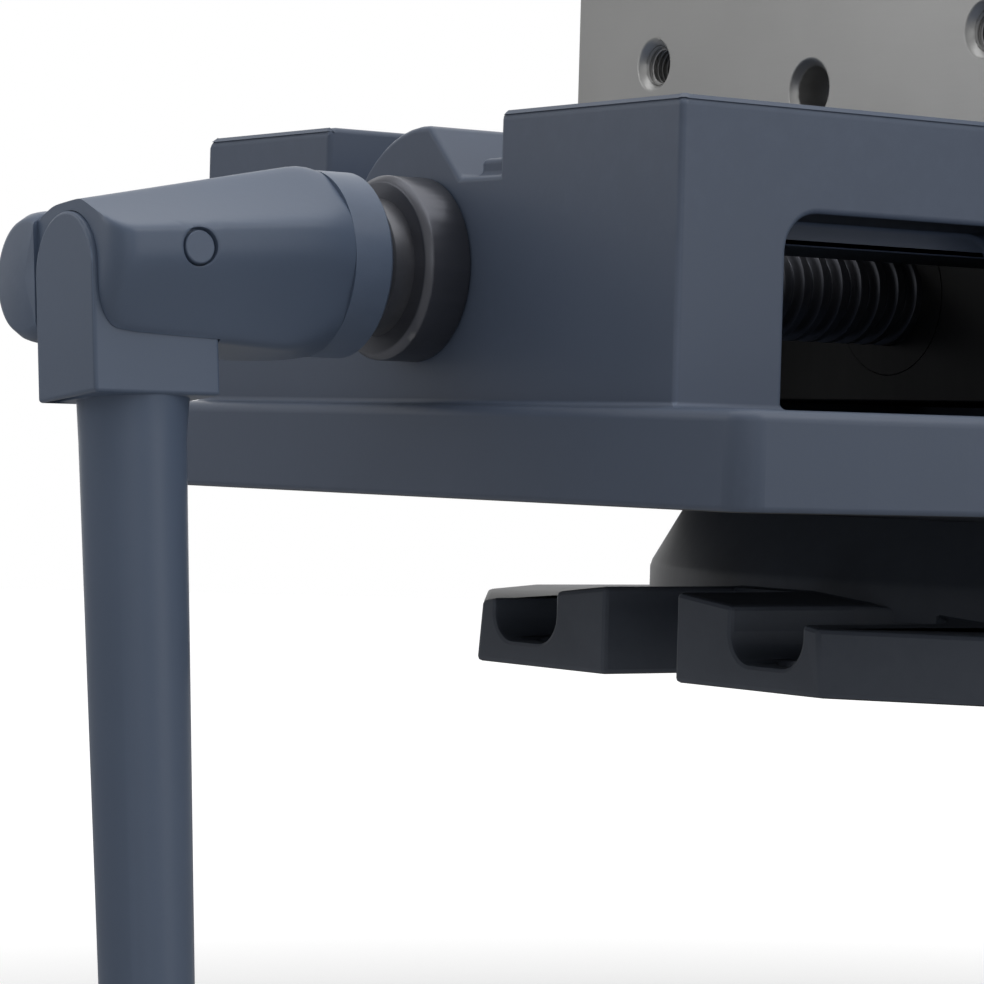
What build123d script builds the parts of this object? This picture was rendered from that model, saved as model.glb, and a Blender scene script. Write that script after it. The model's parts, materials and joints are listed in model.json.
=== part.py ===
from build123d import *
from math import cos, radians, sin, tan
import os

# A machine vise of the angle-lock kind on a swivel base. Lengths are in millimetres.
# X runs along the screw from the crank to the fixed jaw, Z is up, and the origin is the
# centre of the base's underside, on the swivel axis.

# Heights of the stack
base_height = 35.5
flange_thickness = 17.5
rail_height = 54.5
screw_above_deck = 25.5
jaw_height = 50.0

# Clearances
running_gap = 0.05
sliding_gap = 0.2
end_gap = 0.3
head_gap = 0.4
cut_past = 1.0

# Swivel base
neck_wall = 5.1
flare_spread = 7.8
flare_hollow = 1.2
flare_low_z = 19.0
flare_high_z = 30.0
lug_end_x = 158.0
lug_inner_y = 11.6
lug_outer_y = 56.0
lug_crown_height = 17.8
lug_edge_height = 13.0
foot_corner_x = 133.4
foot_corner_y = 102.8
foot_side_x = 96.0
foot_side_y = 124.0
foot_corner_round = 3.0
lug_gap_depth = 33.0
pocket_inner_radius = 35.0
pocket_wall = 5.7
pocket_depth = 18.0
key_groove_width = 16.0
key_groove_depth = 4.0
key_groove_start = 90.0

# Slotted lugs of the base
bolt_slot_x = 140.0
bolt_slot_y = 39.4
bolt_slot_width = 14.0
bolt_slot_length = 24.0
trough_width = 21.3
trough_floor = 5.0
trough_round = 6.0
trough_start_x = 127.0

# Round T-slot and the two bolts that lock the swivel
clamp_from_bed = 19.0
clamp_bolt_radius = 6.0
clamp_bolt_chamfer = 1.0
slot_neck_width = 13.0
slot_head_width = 22.6
slot_head_height = 11.0
slot_lip = 9.0
bolt_head_width = 21.0
bolt_head_length = 16.0
bolt_head_height = 8.0
bolt_head_gap = 0.1
entry_hole_radius = 13.4
entry_hole_angle = 45.0
clamp_hole_radius = 6.75
washer_radius = 12.0
washer_thickness = 3.0
nut_across_flats = 19.0
nut_height = 11.0
bolt_above_nut = 5.0

# Centre pivot
pivot_radius = 20.0
pivot_low_z = 10.0
pivot_top_z = 50.0
pivot_head_gap = 0.5
pivot_chamfer = 1.5

# Vise bed
bed_end_x = -213.0
bed_length = 430.0
bed_width = 160.0
rail_depth = 24.0
slot_width = 66.6
cavity_half_width = 62.0
end_wall = 20.0
far_block_length = 82.0
flange_overhang = 4.0
flange_end_width = 207.0
flange_mid_width = 256.0
flange_corner_round = 6.0
flange_edge_round = 2.2
rail_bevel = 0.9

# End wall with its bearing boss, pad and ledge
wall_top_above_deck = 42.7
boss_radius = 27.5
boss_length = 23.0
boss_flat_inner_y = 1.7
boss_flat_outer_y = 12.3
pad_inner_y = 25.4
pad_length = 22.0
ledge_inner_y = 14.4
ledge_height = 3.6
ledge_setback = 3.5

# Chip windows in the side walls
window_start = 24.2
window_length = 65.0
window_height = 35.2
window_round = 7.0

# Screw, its bearings and its stop collar
screw_radius = 10.0
journal_radius = 8.0
journal_length = 22.0
sleeve_radius = 13.0
tail_sleeve_radius = 12.0
race_thickness = 2.0
needle_diameter = 3.0
needle_length = 5.6
needle_count = 12
cage_thickness = 1.6
race_radius = 19.0
race_hole_radius = 10.4
thrust_collar_length = 8.0
thrust_collar_radius = 19.5
collar_length = 9.6
collar_radius = 17.5
collar_chamfer = 1.2
shoulder_radius = 13.0
shoulder_length = 4.6
hex_across_flats = 17.0
hex_length = 33.0
hex_chamfer = 1.5
pin_radius = 2.5
collar_screw_radius = 2.5
collar_screw_length = 6.0

# Movable jaw
jaw_rear_x = -118.4
jaw_length = 119.5
plate_thickness = 18.0
plate_height = 47.0
plate_foot_gap = 1.0
plate_chamfer = 0.5
tongue_length = 20.0
tongue_over_collar = 1.0
cavity_rear_wall = 28.4
cavity_half_y = 21.0
cavity_height = 28.5
stop_hole_y = 52.4
stop_hole_above_rail = 21.0
stop_hole_radius = 4.25
stop_hole_depth = 20.0
hole_sink = 1.4
jaw_screw_radius = 5.0
jaw_screw_above_rail = 12.5
jaw_screw_inset = 9.0
jaw_edge_round = 0.8

# Screw nut, its carrier and the half ball on the carrier's leaning face
carrier_start = 23.4
carrier_length = 70.0
carrier_above_deck = 4.0
shoulder_half_y = 58.0
nut_radius = 16.0
nut_boss_half_y = 18.0
nut_boss_start = 36.4
nut_boss_height = 25.5
lean_angle = 27.0
ball_from_jaw_rear = 72.4
ball_above_rail = 14.5
ball_radius = 12.5

# Fixed jaw
opening = 115.0
fixed_jaw_length = 63.0
key_width = 16.0
key_height = 12.0
key_length = 120.0
key_from_jaw_face = 14.0
jaw_bolt_radius = 6.0
jaw_bolt_y = 52.0
jaw_bolt_from_face = 46.0
jaw_bolt_head_radius = 9.0
jaw_bolt_head_height = 12.0
jaw_bolt_sunk = 1.0
jaw_bolt_depth = 30.0
jaw_bolt_socket = 10.0
bolt_end_gap = 2.0

# Screws of the jaw plates
plate_screw_radius = 5.0
plate_screw_head_radius = 8.0
plate_screw_head_height = 10.0
plate_screw_sunk = 0.5
plate_screw_depth = 16.0
plate_screw_y = 50.0
plate_screw_above_rail = 25.0
plate_screw_socket = 8.0

# Crank: hub, arm block and arm
crank_turn = 6.0
hub_ring_from_collar = 7.2
ring_length = 8.5
ring_radius = 17.4
ring_chamfer = 0.8
hub_length = 50.2
hub_inner_half = 18.5
hub_outer_half_y = 18.5
hub_outer_top = 8.6
hub_outer_depth = 12.0
hub_inner_band_z = 2.7
hub_outer_band_z = -1.3
hub_band_half = 2.8
hub_crown_half = 5.0
hub_nose_radius = 13.0
hub_nose_round = 7.0
hub_fade_slope = 0.3
dome_radius = 12.2
dome_y = 15.0
dome_drop = 3.0
dome_from_end = 4.9
socket_gap = 0.1
block_length = 25.6
block_past_hub = 1.0
block_half_y = 10.7
block_below_axis = 26.6
block_crown_drop = 3.9
block_edge_round = 0.7
arm_from_face = 13.6
arm_top_radius = 10.2
arm_end_radius = 8.0
crank_radius = 200.0
eye_radius = 14.0
eye_length = 20.0
eye_round = 2.0
cross_pin_radius = 3.0
cross_pin_inset = 0.3
cross_pin_drop = 1.0
cross_pin_groove = 0.6
cross_pin_groove_depth = 1.2
cross_pin_from_ring = 42.0

# Turning grip of the crank
grip_bolt_radius = 5.0
grip_bolt_head_radius = 8.5
grip_bolt_head_height = 4.0
grip_bolt_chamfer = 1.0
grip_length = 86.0
grip_mid_radius = 14.5
grip_end_radius = 11.0
grip_washer_radius = 10.5
grip_washer_thickness = 2.0

# Shares used for drawn shapes
corner_share = 1.13
socket_share = 0.5

# Places that follow from the sizes above
deck_z = base_height + flange_thickness
rail_top_z = deck_z + rail_height
rail_under_z = rail_top_z - rail_depth
axis_z = deck_z + screw_above_deck
jaw_top_z = rail_top_z + jaw_height
slot_lip_z = base_height - slot_lip
slot_head_low_z = slot_lip_z - slot_head_height
bed_far_x = bed_end_x + bed_length
bed_side_y = bed_width / 2
clamp_radius = bed_side_y + clamp_from_bed
neck_radius = clamp_radius + slot_head_width / 2 + neck_wall
flare_radius = neck_radius + flare_spread
flare_waist_radius = neck_radius + flare_hollow
pocket_outer_radius = clamp_radius - slot_head_width / 2 - pocket_wall
slot_side_y = slot_width / 2
wall_inner_x = bed_end_x + end_wall
wall_top_z = deck_z + wall_top_above_deck
far_block_x = bed_far_x - far_block_length
tail_end_x = far_block_x + journal_length
race_start_x = bed_end_x + boss_length
needle_start_x = race_start_x + race_thickness
second_race_x = needle_start_x + needle_diameter
thrust_collar_x = second_race_x + race_thickness
thrust_collar_far_x = thrust_collar_x + thrust_collar_length
thrust_pin_x = (thrust_collar_x + thrust_collar_far_x) / 2
collar_inner_x = bed_end_x - end_gap
collar_outer_x = collar_inner_x - collar_length
collar_screw_x = (collar_inner_x + collar_outer_x) / 2
shoulder_outer_x = collar_outer_x - shoulder_length
hex_end_x = shoulder_outer_x - hex_length
ring_inner_x = collar_outer_x - hub_ring_from_collar
hub_inner_x = ring_inner_x - ring_length
hub_outer_x = hub_inner_x - hub_length
block_outer_x = hub_outer_x - block_past_hub
block_inner_x = block_outer_x + block_length
cross_pin_x = ring_inner_x - cross_pin_from_ring
arm_x = block_outer_x + arm_from_face
grip_axis_z = axis_z - crank_radius
eye_outer_x = arm_x - eye_length / 2
eye_inner_x = arm_x + eye_length / 2
near_washer_x = eye_outer_x - grip_washer_thickness
grip_high_x = near_washer_x - end_gap
grip_low_x = grip_high_x - grip_length
far_washer_x = grip_low_x - end_gap - grip_washer_thickness
jaw_front_x = jaw_rear_x + jaw_length
moving_face_x = jaw_front_x + plate_thickness
cavity_roof_z = rail_top_z + cavity_height
jaw_screw_z = rail_top_z + jaw_screw_above_rail
stop_hole_z = rail_top_z + stop_hole_above_rail
fixed_face_x = moving_face_x + opening
fixed_jaw_x = fixed_face_x + plate_thickness
jaw_bolt_x = fixed_jaw_x + jaw_bolt_from_face
jaw_bolt_head_z = jaw_top_z - jaw_bolt_sunk - jaw_bolt_head_height
carrier_x = jaw_rear_x + carrier_start
carrier_far_x = carrier_x + carrier_length
nut_boss_x = jaw_rear_x + nut_boss_start
nut_boss_top_z = rail_top_z + nut_boss_height
ball_x = jaw_rear_x + ball_from_jaw_rear
ball_z = rail_top_z + ball_above_rail
lean = tan(radians(lean_angle))
cavity_front_x = ball_x + (nut_boss_top_z - ball_z) * lean + 2 * end_gap
plate_low_z = rail_top_z + plate_foot_gap
plate_screw_z = rail_top_z + plate_screw_above_rail

screw_line = Axis((0, 0, axis_z), (1, 0, 0))
from_low_end = (Align.CENTER, Align.CENTER, Align.MIN)


def block(x_low, x_high, y_low, y_high, z_low, z_high):
    """A box between two corners."""
    middle = ((x_low + x_high) / 2, (y_low + y_high) / 2, (z_low + z_high) / 2)
    return Pos(*middle) * Box(x_high - x_low, y_high - y_low, z_high - z_low)


def bar(radius, x_one, x_two, y=0.0, z=axis_z):
    """A round bar along X between two places, given in either order."""
    return Pos((x_one + x_two) / 2, y, z) * Rot(0, 90, 0) * Cylinder(radius, abs(x_two - x_one))


def tube(outer, inner, x_low, x_high):
    """A round tube about the screw axis."""
    return bar(outer, x_low, x_high) - bar(inner, x_low, x_high)


def post(radius, z_low, z_high, x=0.0, y=0.0):
    """A round post along Z."""
    return Pos(x, y, (z_low + z_high) / 2) * Cylinder(radius, z_high - z_low)


def ring_about_z(r_low, r_high, z_low, z_high):
    """A ring of rectangular section about the swivel axis."""
    return post(r_high, z_low, z_high) - post(r_low, z_low, z_high)


def hex_bar(across_flats, x_one, x_two, y=0.0, z=axis_z):
    """A hexagonal bar along X, given by its ends in either order."""
    plane = Plane(origin=(min(x_one, x_two), y, z), x_dir=(0, 0, 1), z_dir=(1, 0, 0))
    outline = RegularPolygon(across_flats / 2, 6, major_radius=False)
    return extrude(plane * outline, abs(x_two - x_one))


def hex_post(across_flats, z_low, z_high, x=0.0, y=0.0):
    """A hexagonal post along Z."""
    outline = RegularPolygon(across_flats / 2, 6, major_radius=False)
    return extrude(Plane(origin=(x, y, z_low)) * outline, z_high - z_low)


def closed(*points):
    """A closed outline of straight lines."""
    return Polyline(*points, close=True)


def along_x(outline, x_low, x_high):
    """An outline in (y, z), carried along X."""
    plane = Plane(origin=(x_low, 0, 0), x_dir=(0, 1, 0), z_dir=(1, 0, 0))
    return extrude(plane * make_face(outline), x_high - x_low)


def along_y(outline, y_half):
    """An outline in (x, z), carried along Y to both sides."""
    return Pos(0, y_half, 0) * extrude(Plane.XZ * make_face(outline), 2 * y_half)


def turned_about_x(outline, z):
    """An outline in (x, radius), turned about a line along X at a height."""
    plane = Plane(origin=(0, 0, z), x_dir=(1, 0, 0), z_dir=(0, -1, 0))
    return revolve(plane * make_face(outline), Axis((0, 0, z), (1, 0, 0)))


def save(name, *shapes):
    """Write one node: a solid, or a group of separate solids."""
    solids = []
    for shape in shapes:
        solids += shape.solids()
    node = solids[0] if len(solids) == 1 else Compound(children=solids)
    node.label = name
    export_step(node, os.path.join("parts", name + ".step"))


# Swivel base


def foot_plate():
    """The foot: a long twelve-sided plate whose top falls away from the middle."""
    quarter = [
        (lug_end_x, lug_outer_y),
        (foot_corner_x, foot_corner_y),
        (foot_side_x, foot_side_y),
    ]
    upper = quarter + [(-x, y) for x, y in reversed(quarter)]
    face = make_face(closed(*upper, *[(-x, -y) for x, y in upper]))
    plate = extrude(fillet(face.vertices(), foot_corner_round), lug_crown_height)
    roof = closed(
        (-foot_side_y, 0),
        (foot_side_y, 0),
        (foot_side_y, lug_edge_height),
        (lug_outer_y, lug_edge_height),
        (lug_inner_y, lug_crown_height),
        (-lug_inner_y, lug_crown_height),
        (-lug_outer_y, lug_edge_height),
        (-foot_side_y, lug_edge_height),
    )
    return plate & along_x(roof, -lug_end_x, lug_end_x)


def neck():
    """The round middle of the base, with a hollow flare down to the foot."""
    outline = Line((0, 0), (flare_radius, 0)) + Line((flare_radius, 0), (flare_radius, flare_low_z))
    outline += ThreePointArc(
        (flare_radius, flare_low_z),
        (flare_waist_radius, (flare_low_z + flare_high_z) / 2),
        (neck_radius, flare_high_z),
    )
    outline += Line((neck_radius, flare_high_z), (neck_radius, base_height))
    outline += Line((neck_radius, base_height), (0, base_height))
    outline += Line((0, base_height), (0, 0))
    return revolve(Plane.XZ * make_face(outline), Axis.Z)


def lug_slot(turned_x, turned_y):
    """One lug's trough, open at the lug's end, and the bolt slot in its floor."""
    half = trough_width / 2
    section = make_face(
        closed(
            (bolt_slot_y - half, trough_floor),
            (bolt_slot_y + half, trough_floor),
            (bolt_slot_y + half, base_height),
            (bolt_slot_y - half, base_height),
        )
    )
    section = fillet(section.vertices().group_by(Axis.Y)[0], trough_round)
    plane = Plane(origin=(trough_start_x, 0, 0), x_dir=(0, 1, 0), z_dir=(1, 0, 0))
    cut = extrude(plane * section, lug_end_x - trough_start_x + cut_past)
    cut += post(half, trough_floor, flare_low_z, trough_start_x, bolt_slot_y)
    through = extrude(SlotOverall(bolt_slot_length, bolt_slot_width), trough_floor + 2 * cut_past)
    cut += Pos(bolt_slot_x, bolt_slot_y, -cut_past) * through
    if turned_x:
        cut = mirror(cut, Plane.YZ)
    if turned_y:
        cut = mirror(cut, Plane.XZ)
    return cut


def swivel_base():
    gap_x = lug_end_x - lug_gap_depth
    body = foot_plate()
    body -= block(gap_x, lug_end_x, -lug_inner_y, lug_inner_y, 0, base_height)
    body -= block(-lug_end_x, -gap_x, -lug_inner_y, lug_inner_y, 0, base_height)
    body += neck()
    for turned_x in (False, True):
        for turned_y in (False, True):
            body -= lug_slot(turned_x, turned_y)
    neck_half = slot_neck_width / 2
    head_half = slot_head_width / 2
    body -= ring_about_z(clamp_radius - neck_half, clamp_radius + neck_half, slot_lip_z, base_height)
    body -= ring_about_z(clamp_radius - head_half, clamp_radius + head_half, slot_head_low_z, slot_lip_z)
    turn = radians(entry_hole_angle)
    for way in (-1, 1):
        x = way * clamp_radius * cos(turn)
        y = way * clamp_radius * sin(turn)
        body -= post(entry_hole_radius, 0, slot_head_low_z, x, y)
    body -= ring_about_z(pocket_inner_radius, pocket_outer_radius, 0, pocket_depth)
    half = key_groove_width / 2
    body -= block(key_groove_start, lug_end_x, -half, half, 0, key_groove_depth)
    body -= block(-lug_end_x, -key_groove_start, -half, half, 0, key_groove_depth)
    return body - post(pivot_radius, pivot_low_z, base_height)


def pivot_pin():
    pin = post(pivot_radius, pivot_low_z, pivot_top_z)
    return chamfer(pin.edges().group_by(Axis.Z)[-1], pivot_chamfer)


def clamp_bolt(y):
    """A T-bolt: a flat-sided head in the round slot and a shank up through the flange."""
    high = slot_lip_z - bolt_head_gap
    top = deck_z + washer_thickness + nut_height + bolt_above_nut
    half_x = bolt_head_length / 2
    half_y = bolt_head_width / 2
    head = block(-half_x, half_x, y - half_y, y + half_y, high - bolt_head_height, high)
    shank = post(clamp_bolt_radius, high, top, 0, y)
    return head + chamfer(shank.edges().group_by(Axis.Z)[-1], clamp_bolt_chamfer)


def clamp_washer(y):
    high = deck_z + washer_thickness
    hole = post(clamp_bolt_radius + sliding_gap, deck_z, high, 0, y)
    return post(washer_radius, deck_z, high, 0, y) - hole


def clamp_nut(y):
    """A hexagonal nut with its corners turned off at the top."""
    low = deck_z + washer_thickness
    high = low + nut_height
    turned = post(nut_across_flats / 2 * corner_share, low, high, 0, y)
    turned = chamfer(turned.edges().group_by(Axis.Z)[-1], hex_chamfer)
    nut = hex_post(nut_across_flats, low, high, 0, y) & turned
    return nut - post(clamp_bolt_radius, low, high, 0, y)


# Vise bed


def flange():
    """The bed's foot plate: straight ends, bulged sides and a rounded upper edge."""
    low_x = bed_end_x - flange_overhang
    high_x = bed_far_x + flange_overhang
    middle_x = (low_x + high_x) / 2
    end_y = flange_end_width / 2
    mid_y = flange_mid_width / 2
    outline = Line((low_x, end_y), (low_x, -end_y))
    outline += ThreePointArc((low_x, -end_y), (middle_x, -mid_y), (high_x, -end_y))
    outline += Line((high_x, -end_y), (high_x, end_y))
    outline += ThreePointArc((high_x, end_y), (middle_x, mid_y), (low_x, end_y))
    face = make_face(outline)
    face = fillet(face.vertices(), flange_corner_round)
    plate = Pos(0, 0, base_height) * extrude(face, flange_thickness)
    return fillet(plate.faces().sort_by(Axis.Z)[-1].edges(), flange_edge_round)


def rails():
    """Both rails, the end wall between them and the solid block under the fixed jaw."""
    body = block(bed_end_x, bed_far_x, -bed_side_y, bed_side_y, deck_z, rail_top_z)
    body = chamfer(body.edges().group_by(Axis.Z)[-1], rail_bevel)
    pad_x = bed_end_x + pad_length
    wide = cavity_half_width
    body -= block(bed_end_x, wall_inner_x, -pad_inner_y, slot_side_y, wall_top_z, rail_top_z)
    body -= block(wall_inner_x, far_block_x, -pad_inner_y, slot_side_y, deck_z, rail_top_z)
    body -= block(pad_x, far_block_x, -slot_side_y, -pad_inner_y, deck_z, rail_top_z)
    body -= block(pad_x, far_block_x, -wide, wide, deck_z, rail_under_z)
    body -= block(wall_inner_x, pad_x, -pad_inner_y, wide, deck_z, rail_under_z)
    ledge_x = bed_end_x + ledge_setback
    ledge_top = wall_top_z + ledge_height
    return body + block(ledge_x, wall_inner_x, -pad_inner_y, -ledge_inner_y, wall_top_z, ledge_top)


def end_boss():
    """The round-topped bearing boss in the end wall, with a flat on its near side."""
    boss = bar(boss_radius, bed_end_x, race_start_x)
    top = axis_z + boss_radius
    cut = closed(
        (-boss_flat_inner_y, top),
        (-boss_flat_outer_y, wall_top_z),
        (-boss_radius, wall_top_z),
        (-boss_radius, top),
    )
    return boss & block(bed_end_x, race_start_x, -boss_radius, boss_radius, deck_z, top) - along_x(
        cut, bed_end_x, race_start_x
    )


def windows():
    """The chip windows in both side walls, square at the deck and round above."""
    low_x = bed_end_x + window_start
    high_x = low_x + window_length
    top_z = deck_z + window_height
    face = make_face(closed((low_x, deck_z), (high_x, deck_z), (high_x, top_z), (low_x, top_z)))
    face = fillet(face.vertices().group_by(Axis.Y)[-1], window_round)
    hole = Pos(0, bed_side_y, 0) * extrude(Plane.XZ * face, bed_width)
    return hole - block(low_x, high_x, -cavity_half_width, cavity_half_width, deck_z, top_z)


def key_space():
    """The cross key's room, half in the bed and half in the fixed jaw."""
    low_x = fixed_jaw_x + key_from_jaw_face
    half_y = key_length / 2
    half_z = key_height / 2
    return block(low_x, low_x + key_width, -half_y, half_y, rail_top_z - half_z, rail_top_z + half_z)


def vise_bed():
    body = flange() + rails() + end_boss()
    body -= windows()
    body -= bar(sleeve_radius, bed_end_x, race_start_x)
    body -= bar(tail_sleeve_radius, far_block_x, tail_end_x)
    body -= post(pivot_radius + running_gap, base_height, pivot_top_z + pivot_head_gap)
    for y in (-clamp_radius, clamp_radius):
        body -= post(clamp_hole_radius, base_height, deck_z, 0, y)
    for y in (-jaw_bolt_y, jaw_bolt_y):
        body -= post(jaw_bolt_radius, rail_top_z - jaw_bolt_depth, rail_top_z, jaw_bolt_x, y)
    return body - key_space()


def needle_ring():
    """The thrust bearing's flat cage, with its needles standing between the races."""
    middle_radius = (race_radius + race_hole_radius) / 2
    middle_x = needle_start_x + needle_diameter / 2
    half = cage_thickness / 2
    ring = tube(race_radius - end_gap, race_hole_radius + end_gap, middle_x - half, middle_x + half)
    for step in range(needle_count):
        needle = Pos(0, 0, middle_radius) * Cylinder(needle_diameter / 2, needle_length)
        ring += Pos(middle_x, 0, axis_z) * Rot(360 / needle_count * step, 0, 0) * needle
    return ring


# Lead screw


def thrust_pin():
    return post(pin_radius, axis_z - thrust_collar_radius, axis_z + thrust_collar_radius, thrust_pin_x)


def lead_screw():
    """The screw: hexagon, shoulder, plain body at thread diameter and tail journal."""
    turned = bar(hex_across_flats / 2 * corner_share, hex_end_x, shoulder_outer_x)
    turned = chamfer(turned.edges().group_by(Axis.X)[0], hex_chamfer)
    shape = hex_bar(hex_across_flats, hex_end_x, shoulder_outer_x) & turned
    shape = shape.rotate(screw_line, -crank_turn)
    shape += bar(shoulder_radius, shoulder_outer_x, collar_outer_x)
    shape += bar(screw_radius, collar_outer_x, far_block_x - end_gap)
    shape += bar(journal_radius, far_block_x - end_gap, tail_end_x - end_gap)
    return shape - thrust_pin()


def stop_collar():
    """The black collar outside the end wall, tapped for its set screw."""
    ring = bar(collar_radius, collar_outer_x, collar_inner_x)
    ring = chamfer(ring.edges().group_by(Axis.X)[0], collar_chamfer)
    ring -= bar(screw_radius, collar_outer_x, collar_inner_x)
    return ring - post(collar_screw_radius, axis_z, axis_z + collar_radius, collar_screw_x)


def collar_set_screw():
    low = axis_z + screw_radius
    high = low + collar_screw_length
    socket_low = high - collar_screw_length * socket_share
    screw = post(collar_screw_radius, low, high, collar_screw_x)
    return screw - hex_post(collar_screw_radius, socket_low, high, collar_screw_x)


def thrust_collar():
    return tube(thrust_collar_radius, screw_radius, thrust_collar_x, thrust_collar_far_x) - thrust_pin()


# Jaw plates and their screws


def plate_screw_spaces(seat_x, face_x, into):
    """Holes for the two screws of a plate: through the plate and into the jaw behind it."""
    spaces = []
    for y in (-plate_screw_y, plate_screw_y):
        head_end = face_x + into * (plate_screw_sunk + plate_screw_head_height)
        thread_end = seat_x + into * plate_screw_depth
        spaces.append(bar(plate_screw_head_radius + head_gap, face_x, head_end, y, plate_screw_z))
        spaces.append(bar(plate_screw_radius, head_end, thread_end, y, plate_screw_z))
    return spaces


def plate_screws(seat_x, face_x, into):
    """Two socket screws that hold a jaw plate, with their heads below its face."""
    screws = []
    for y in (-plate_screw_y, plate_screw_y):
        top = face_x + into * plate_screw_sunk
        under = top + into * plate_screw_head_height
        end = seat_x + into * (plate_screw_depth - bolt_end_gap)
        screw = bar(plate_screw_head_radius, top, under, y, plate_screw_z)
        screw += bar(plate_screw_radius, under, end, y, plate_screw_z)
        socket_end = top + into * plate_screw_head_height * socket_share
        screws.append(screw - hex_bar(plate_screw_socket, top, socket_end, y, plate_screw_z))
    return screws


def jaw_plate(x_low, seat_x, face_x, into):
    x_high = x_low + plate_thickness
    plate = block(x_low, x_high, -bed_side_y, bed_side_y, plate_low_z, plate_low_z + plate_height)
    plate = chamfer(plate.edges(), plate_chamfer)
    for space in plate_screw_spaces(seat_x, face_x, into):
        plate -= space
    return plate


# Movable jaw and what drives it


def rear_hole(radius, depth, y, z):
    """A hole in the movable jaw's rear face, with its countersink."""
    sink = Cone(radius + hole_sink, radius, hole_sink, align=from_low_end)
    return bar(radius, jaw_rear_x, jaw_rear_x + depth, y, z) + Pos(jaw_rear_x, y, z) * Rot(0, 90, 0) * sink


def movable_jaw():
    body = block(jaw_rear_x, jaw_front_x, -bed_side_y, bed_side_y, rail_top_z, jaw_top_z)
    body = fillet(body.edges().filter_by(Axis.Y).group_by(Axis.Z)[-1], jaw_edge_round)
    side = slot_side_y - sliding_gap
    low = axis_z + thrust_collar_radius + tongue_over_collar
    body += block(jaw_rear_x, jaw_rear_x + tongue_length, -side, side, low, rail_top_z)
    body += block(jaw_front_x - tongue_length, jaw_front_x, -side, side, low, rail_top_z)
    cavity_x = jaw_rear_x + cavity_rear_wall
    body -= block(cavity_x, cavity_front_x, -cavity_half_y, cavity_half_y, rail_top_z, cavity_roof_z)
    body -= Pos(ball_x, 0, ball_z) * Rot(0, 90, 0) * Sphere(ball_radius + running_gap)
    body -= rear_hole(jaw_screw_radius, cavity_rear_wall, 0, jaw_screw_z)
    for y in (-stop_hole_y, stop_hole_y):
        body -= rear_hole(stop_hole_radius, stop_hole_depth, y, stop_hole_z)
    for space in plate_screw_spaces(jaw_front_x, moving_face_x, -1):
        body -= space
    return body


def nut_carrier():
    """The block round the screw nut: shoulders under both rails, and a boss that leans
    forward, so that its push turns partly into a downward pull on the jaw."""
    side = slot_side_y - sliding_gap
    low = deck_z + carrier_above_deck
    top = rail_top_z - sliding_gap
    under = rail_under_z - sliding_gap
    body = block(carrier_x, carrier_far_x, -side, side, low, top)
    body += block(carrier_x, carrier_far_x, -shoulder_half_y, shoulder_half_y, low, under)
    foot_x = ball_x - (ball_z - top) * lean
    head_x = ball_x + (nut_boss_top_z - ball_z) * lean
    outline = closed((nut_boss_x, top), (foot_x, top), (head_x, nut_boss_top_z), (nut_boss_x, nut_boss_top_z))
    body += along_y(outline, nut_boss_half_y)
    return body - bar(nut_radius, carrier_x, carrier_far_x)


def half_ball():
    """The segment between the leaning boss and its round seat in the movable jaw."""
    turn = radians(lean_angle)
    plane = Plane(origin=(ball_x, 0, ball_z), x_dir=(0, 1, 0), z_dir=(cos(turn), 0, -sin(turn)))
    wide = 2 * ball_radius + cut_past
    keep = extrude(plane * Rectangle(wide, wide), ball_radius + cut_past)
    return Pos(ball_x, 0, ball_z) * Sphere(ball_radius) & keep


def jaw_set_screw():
    """The set screw that takes up the play behind the carrier's boss."""
    start = jaw_rear_x + jaw_screw_inset
    socket_end = start + 2 * jaw_screw_radius * socket_share
    screw = bar(jaw_screw_radius, start, nut_boss_x, 0, jaw_screw_z)
    return screw - hex_bar(jaw_screw_radius, start, socket_end, 0, jaw_screw_z)


# Fixed jaw


def fixed_jaw():
    far_x = fixed_jaw_x + fixed_jaw_length
    body = block(fixed_jaw_x, far_x, -bed_side_y, bed_side_y, rail_top_z, jaw_top_z)
    body = fillet(body.edges().filter_by(Axis.Y).group_by(Axis.Z)[-1], jaw_edge_round)
    body -= key_space()
    for y in (-jaw_bolt_y, jaw_bolt_y):
        body -= post(jaw_bolt_radius + head_gap, rail_top_z, jaw_bolt_head_z, jaw_bolt_x, y)
        body -= post(jaw_bolt_head_radius + head_gap, jaw_bolt_head_z, jaw_top_z, jaw_bolt_x, y)
    for space in plate_screw_spaces(fixed_jaw_x, fixed_face_x, 1):
        body -= space
    return body


def fixed_jaw_bolt(y):
    """A socket screw down through the fixed jaw into the bed."""
    head_top = jaw_bolt_head_z + jaw_bolt_head_height
    low = rail_top_z - jaw_bolt_depth + bolt_end_gap
    screw = post(jaw_bolt_head_radius, jaw_bolt_head_z, head_top, jaw_bolt_x, y)
    screw += post(jaw_bolt_radius, low, jaw_bolt_head_z, jaw_bolt_x, y)
    socket_low = head_top - jaw_bolt_head_height * socket_share
    return screw - hex_post(jaw_bolt_socket, socket_low, head_top, jaw_bolt_x, y)


# Crank, built with its arm straight down and then turned about the screw


def hub_section(x, half_y, top, depth, band_z):
    """The hub's eight-sided outline at one end, with a narrow band on each side."""
    low = band_z - hub_band_half
    high = band_z + hub_band_half
    upper = [(-half_y, low), (-half_y, high), (-hub_crown_half, top), (hub_crown_half, top)]
    lower = [(half_y, -low), (half_y, -high), (hub_crown_half, -depth), (-hub_crown_half, -depth)]
    outline = closed(*upper, *lower)
    plane = Plane(origin=(x, 0, axis_z), x_dir=(0, 1, 0), z_dir=(1, 0, 0))
    return plane * make_face(outline)


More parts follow.
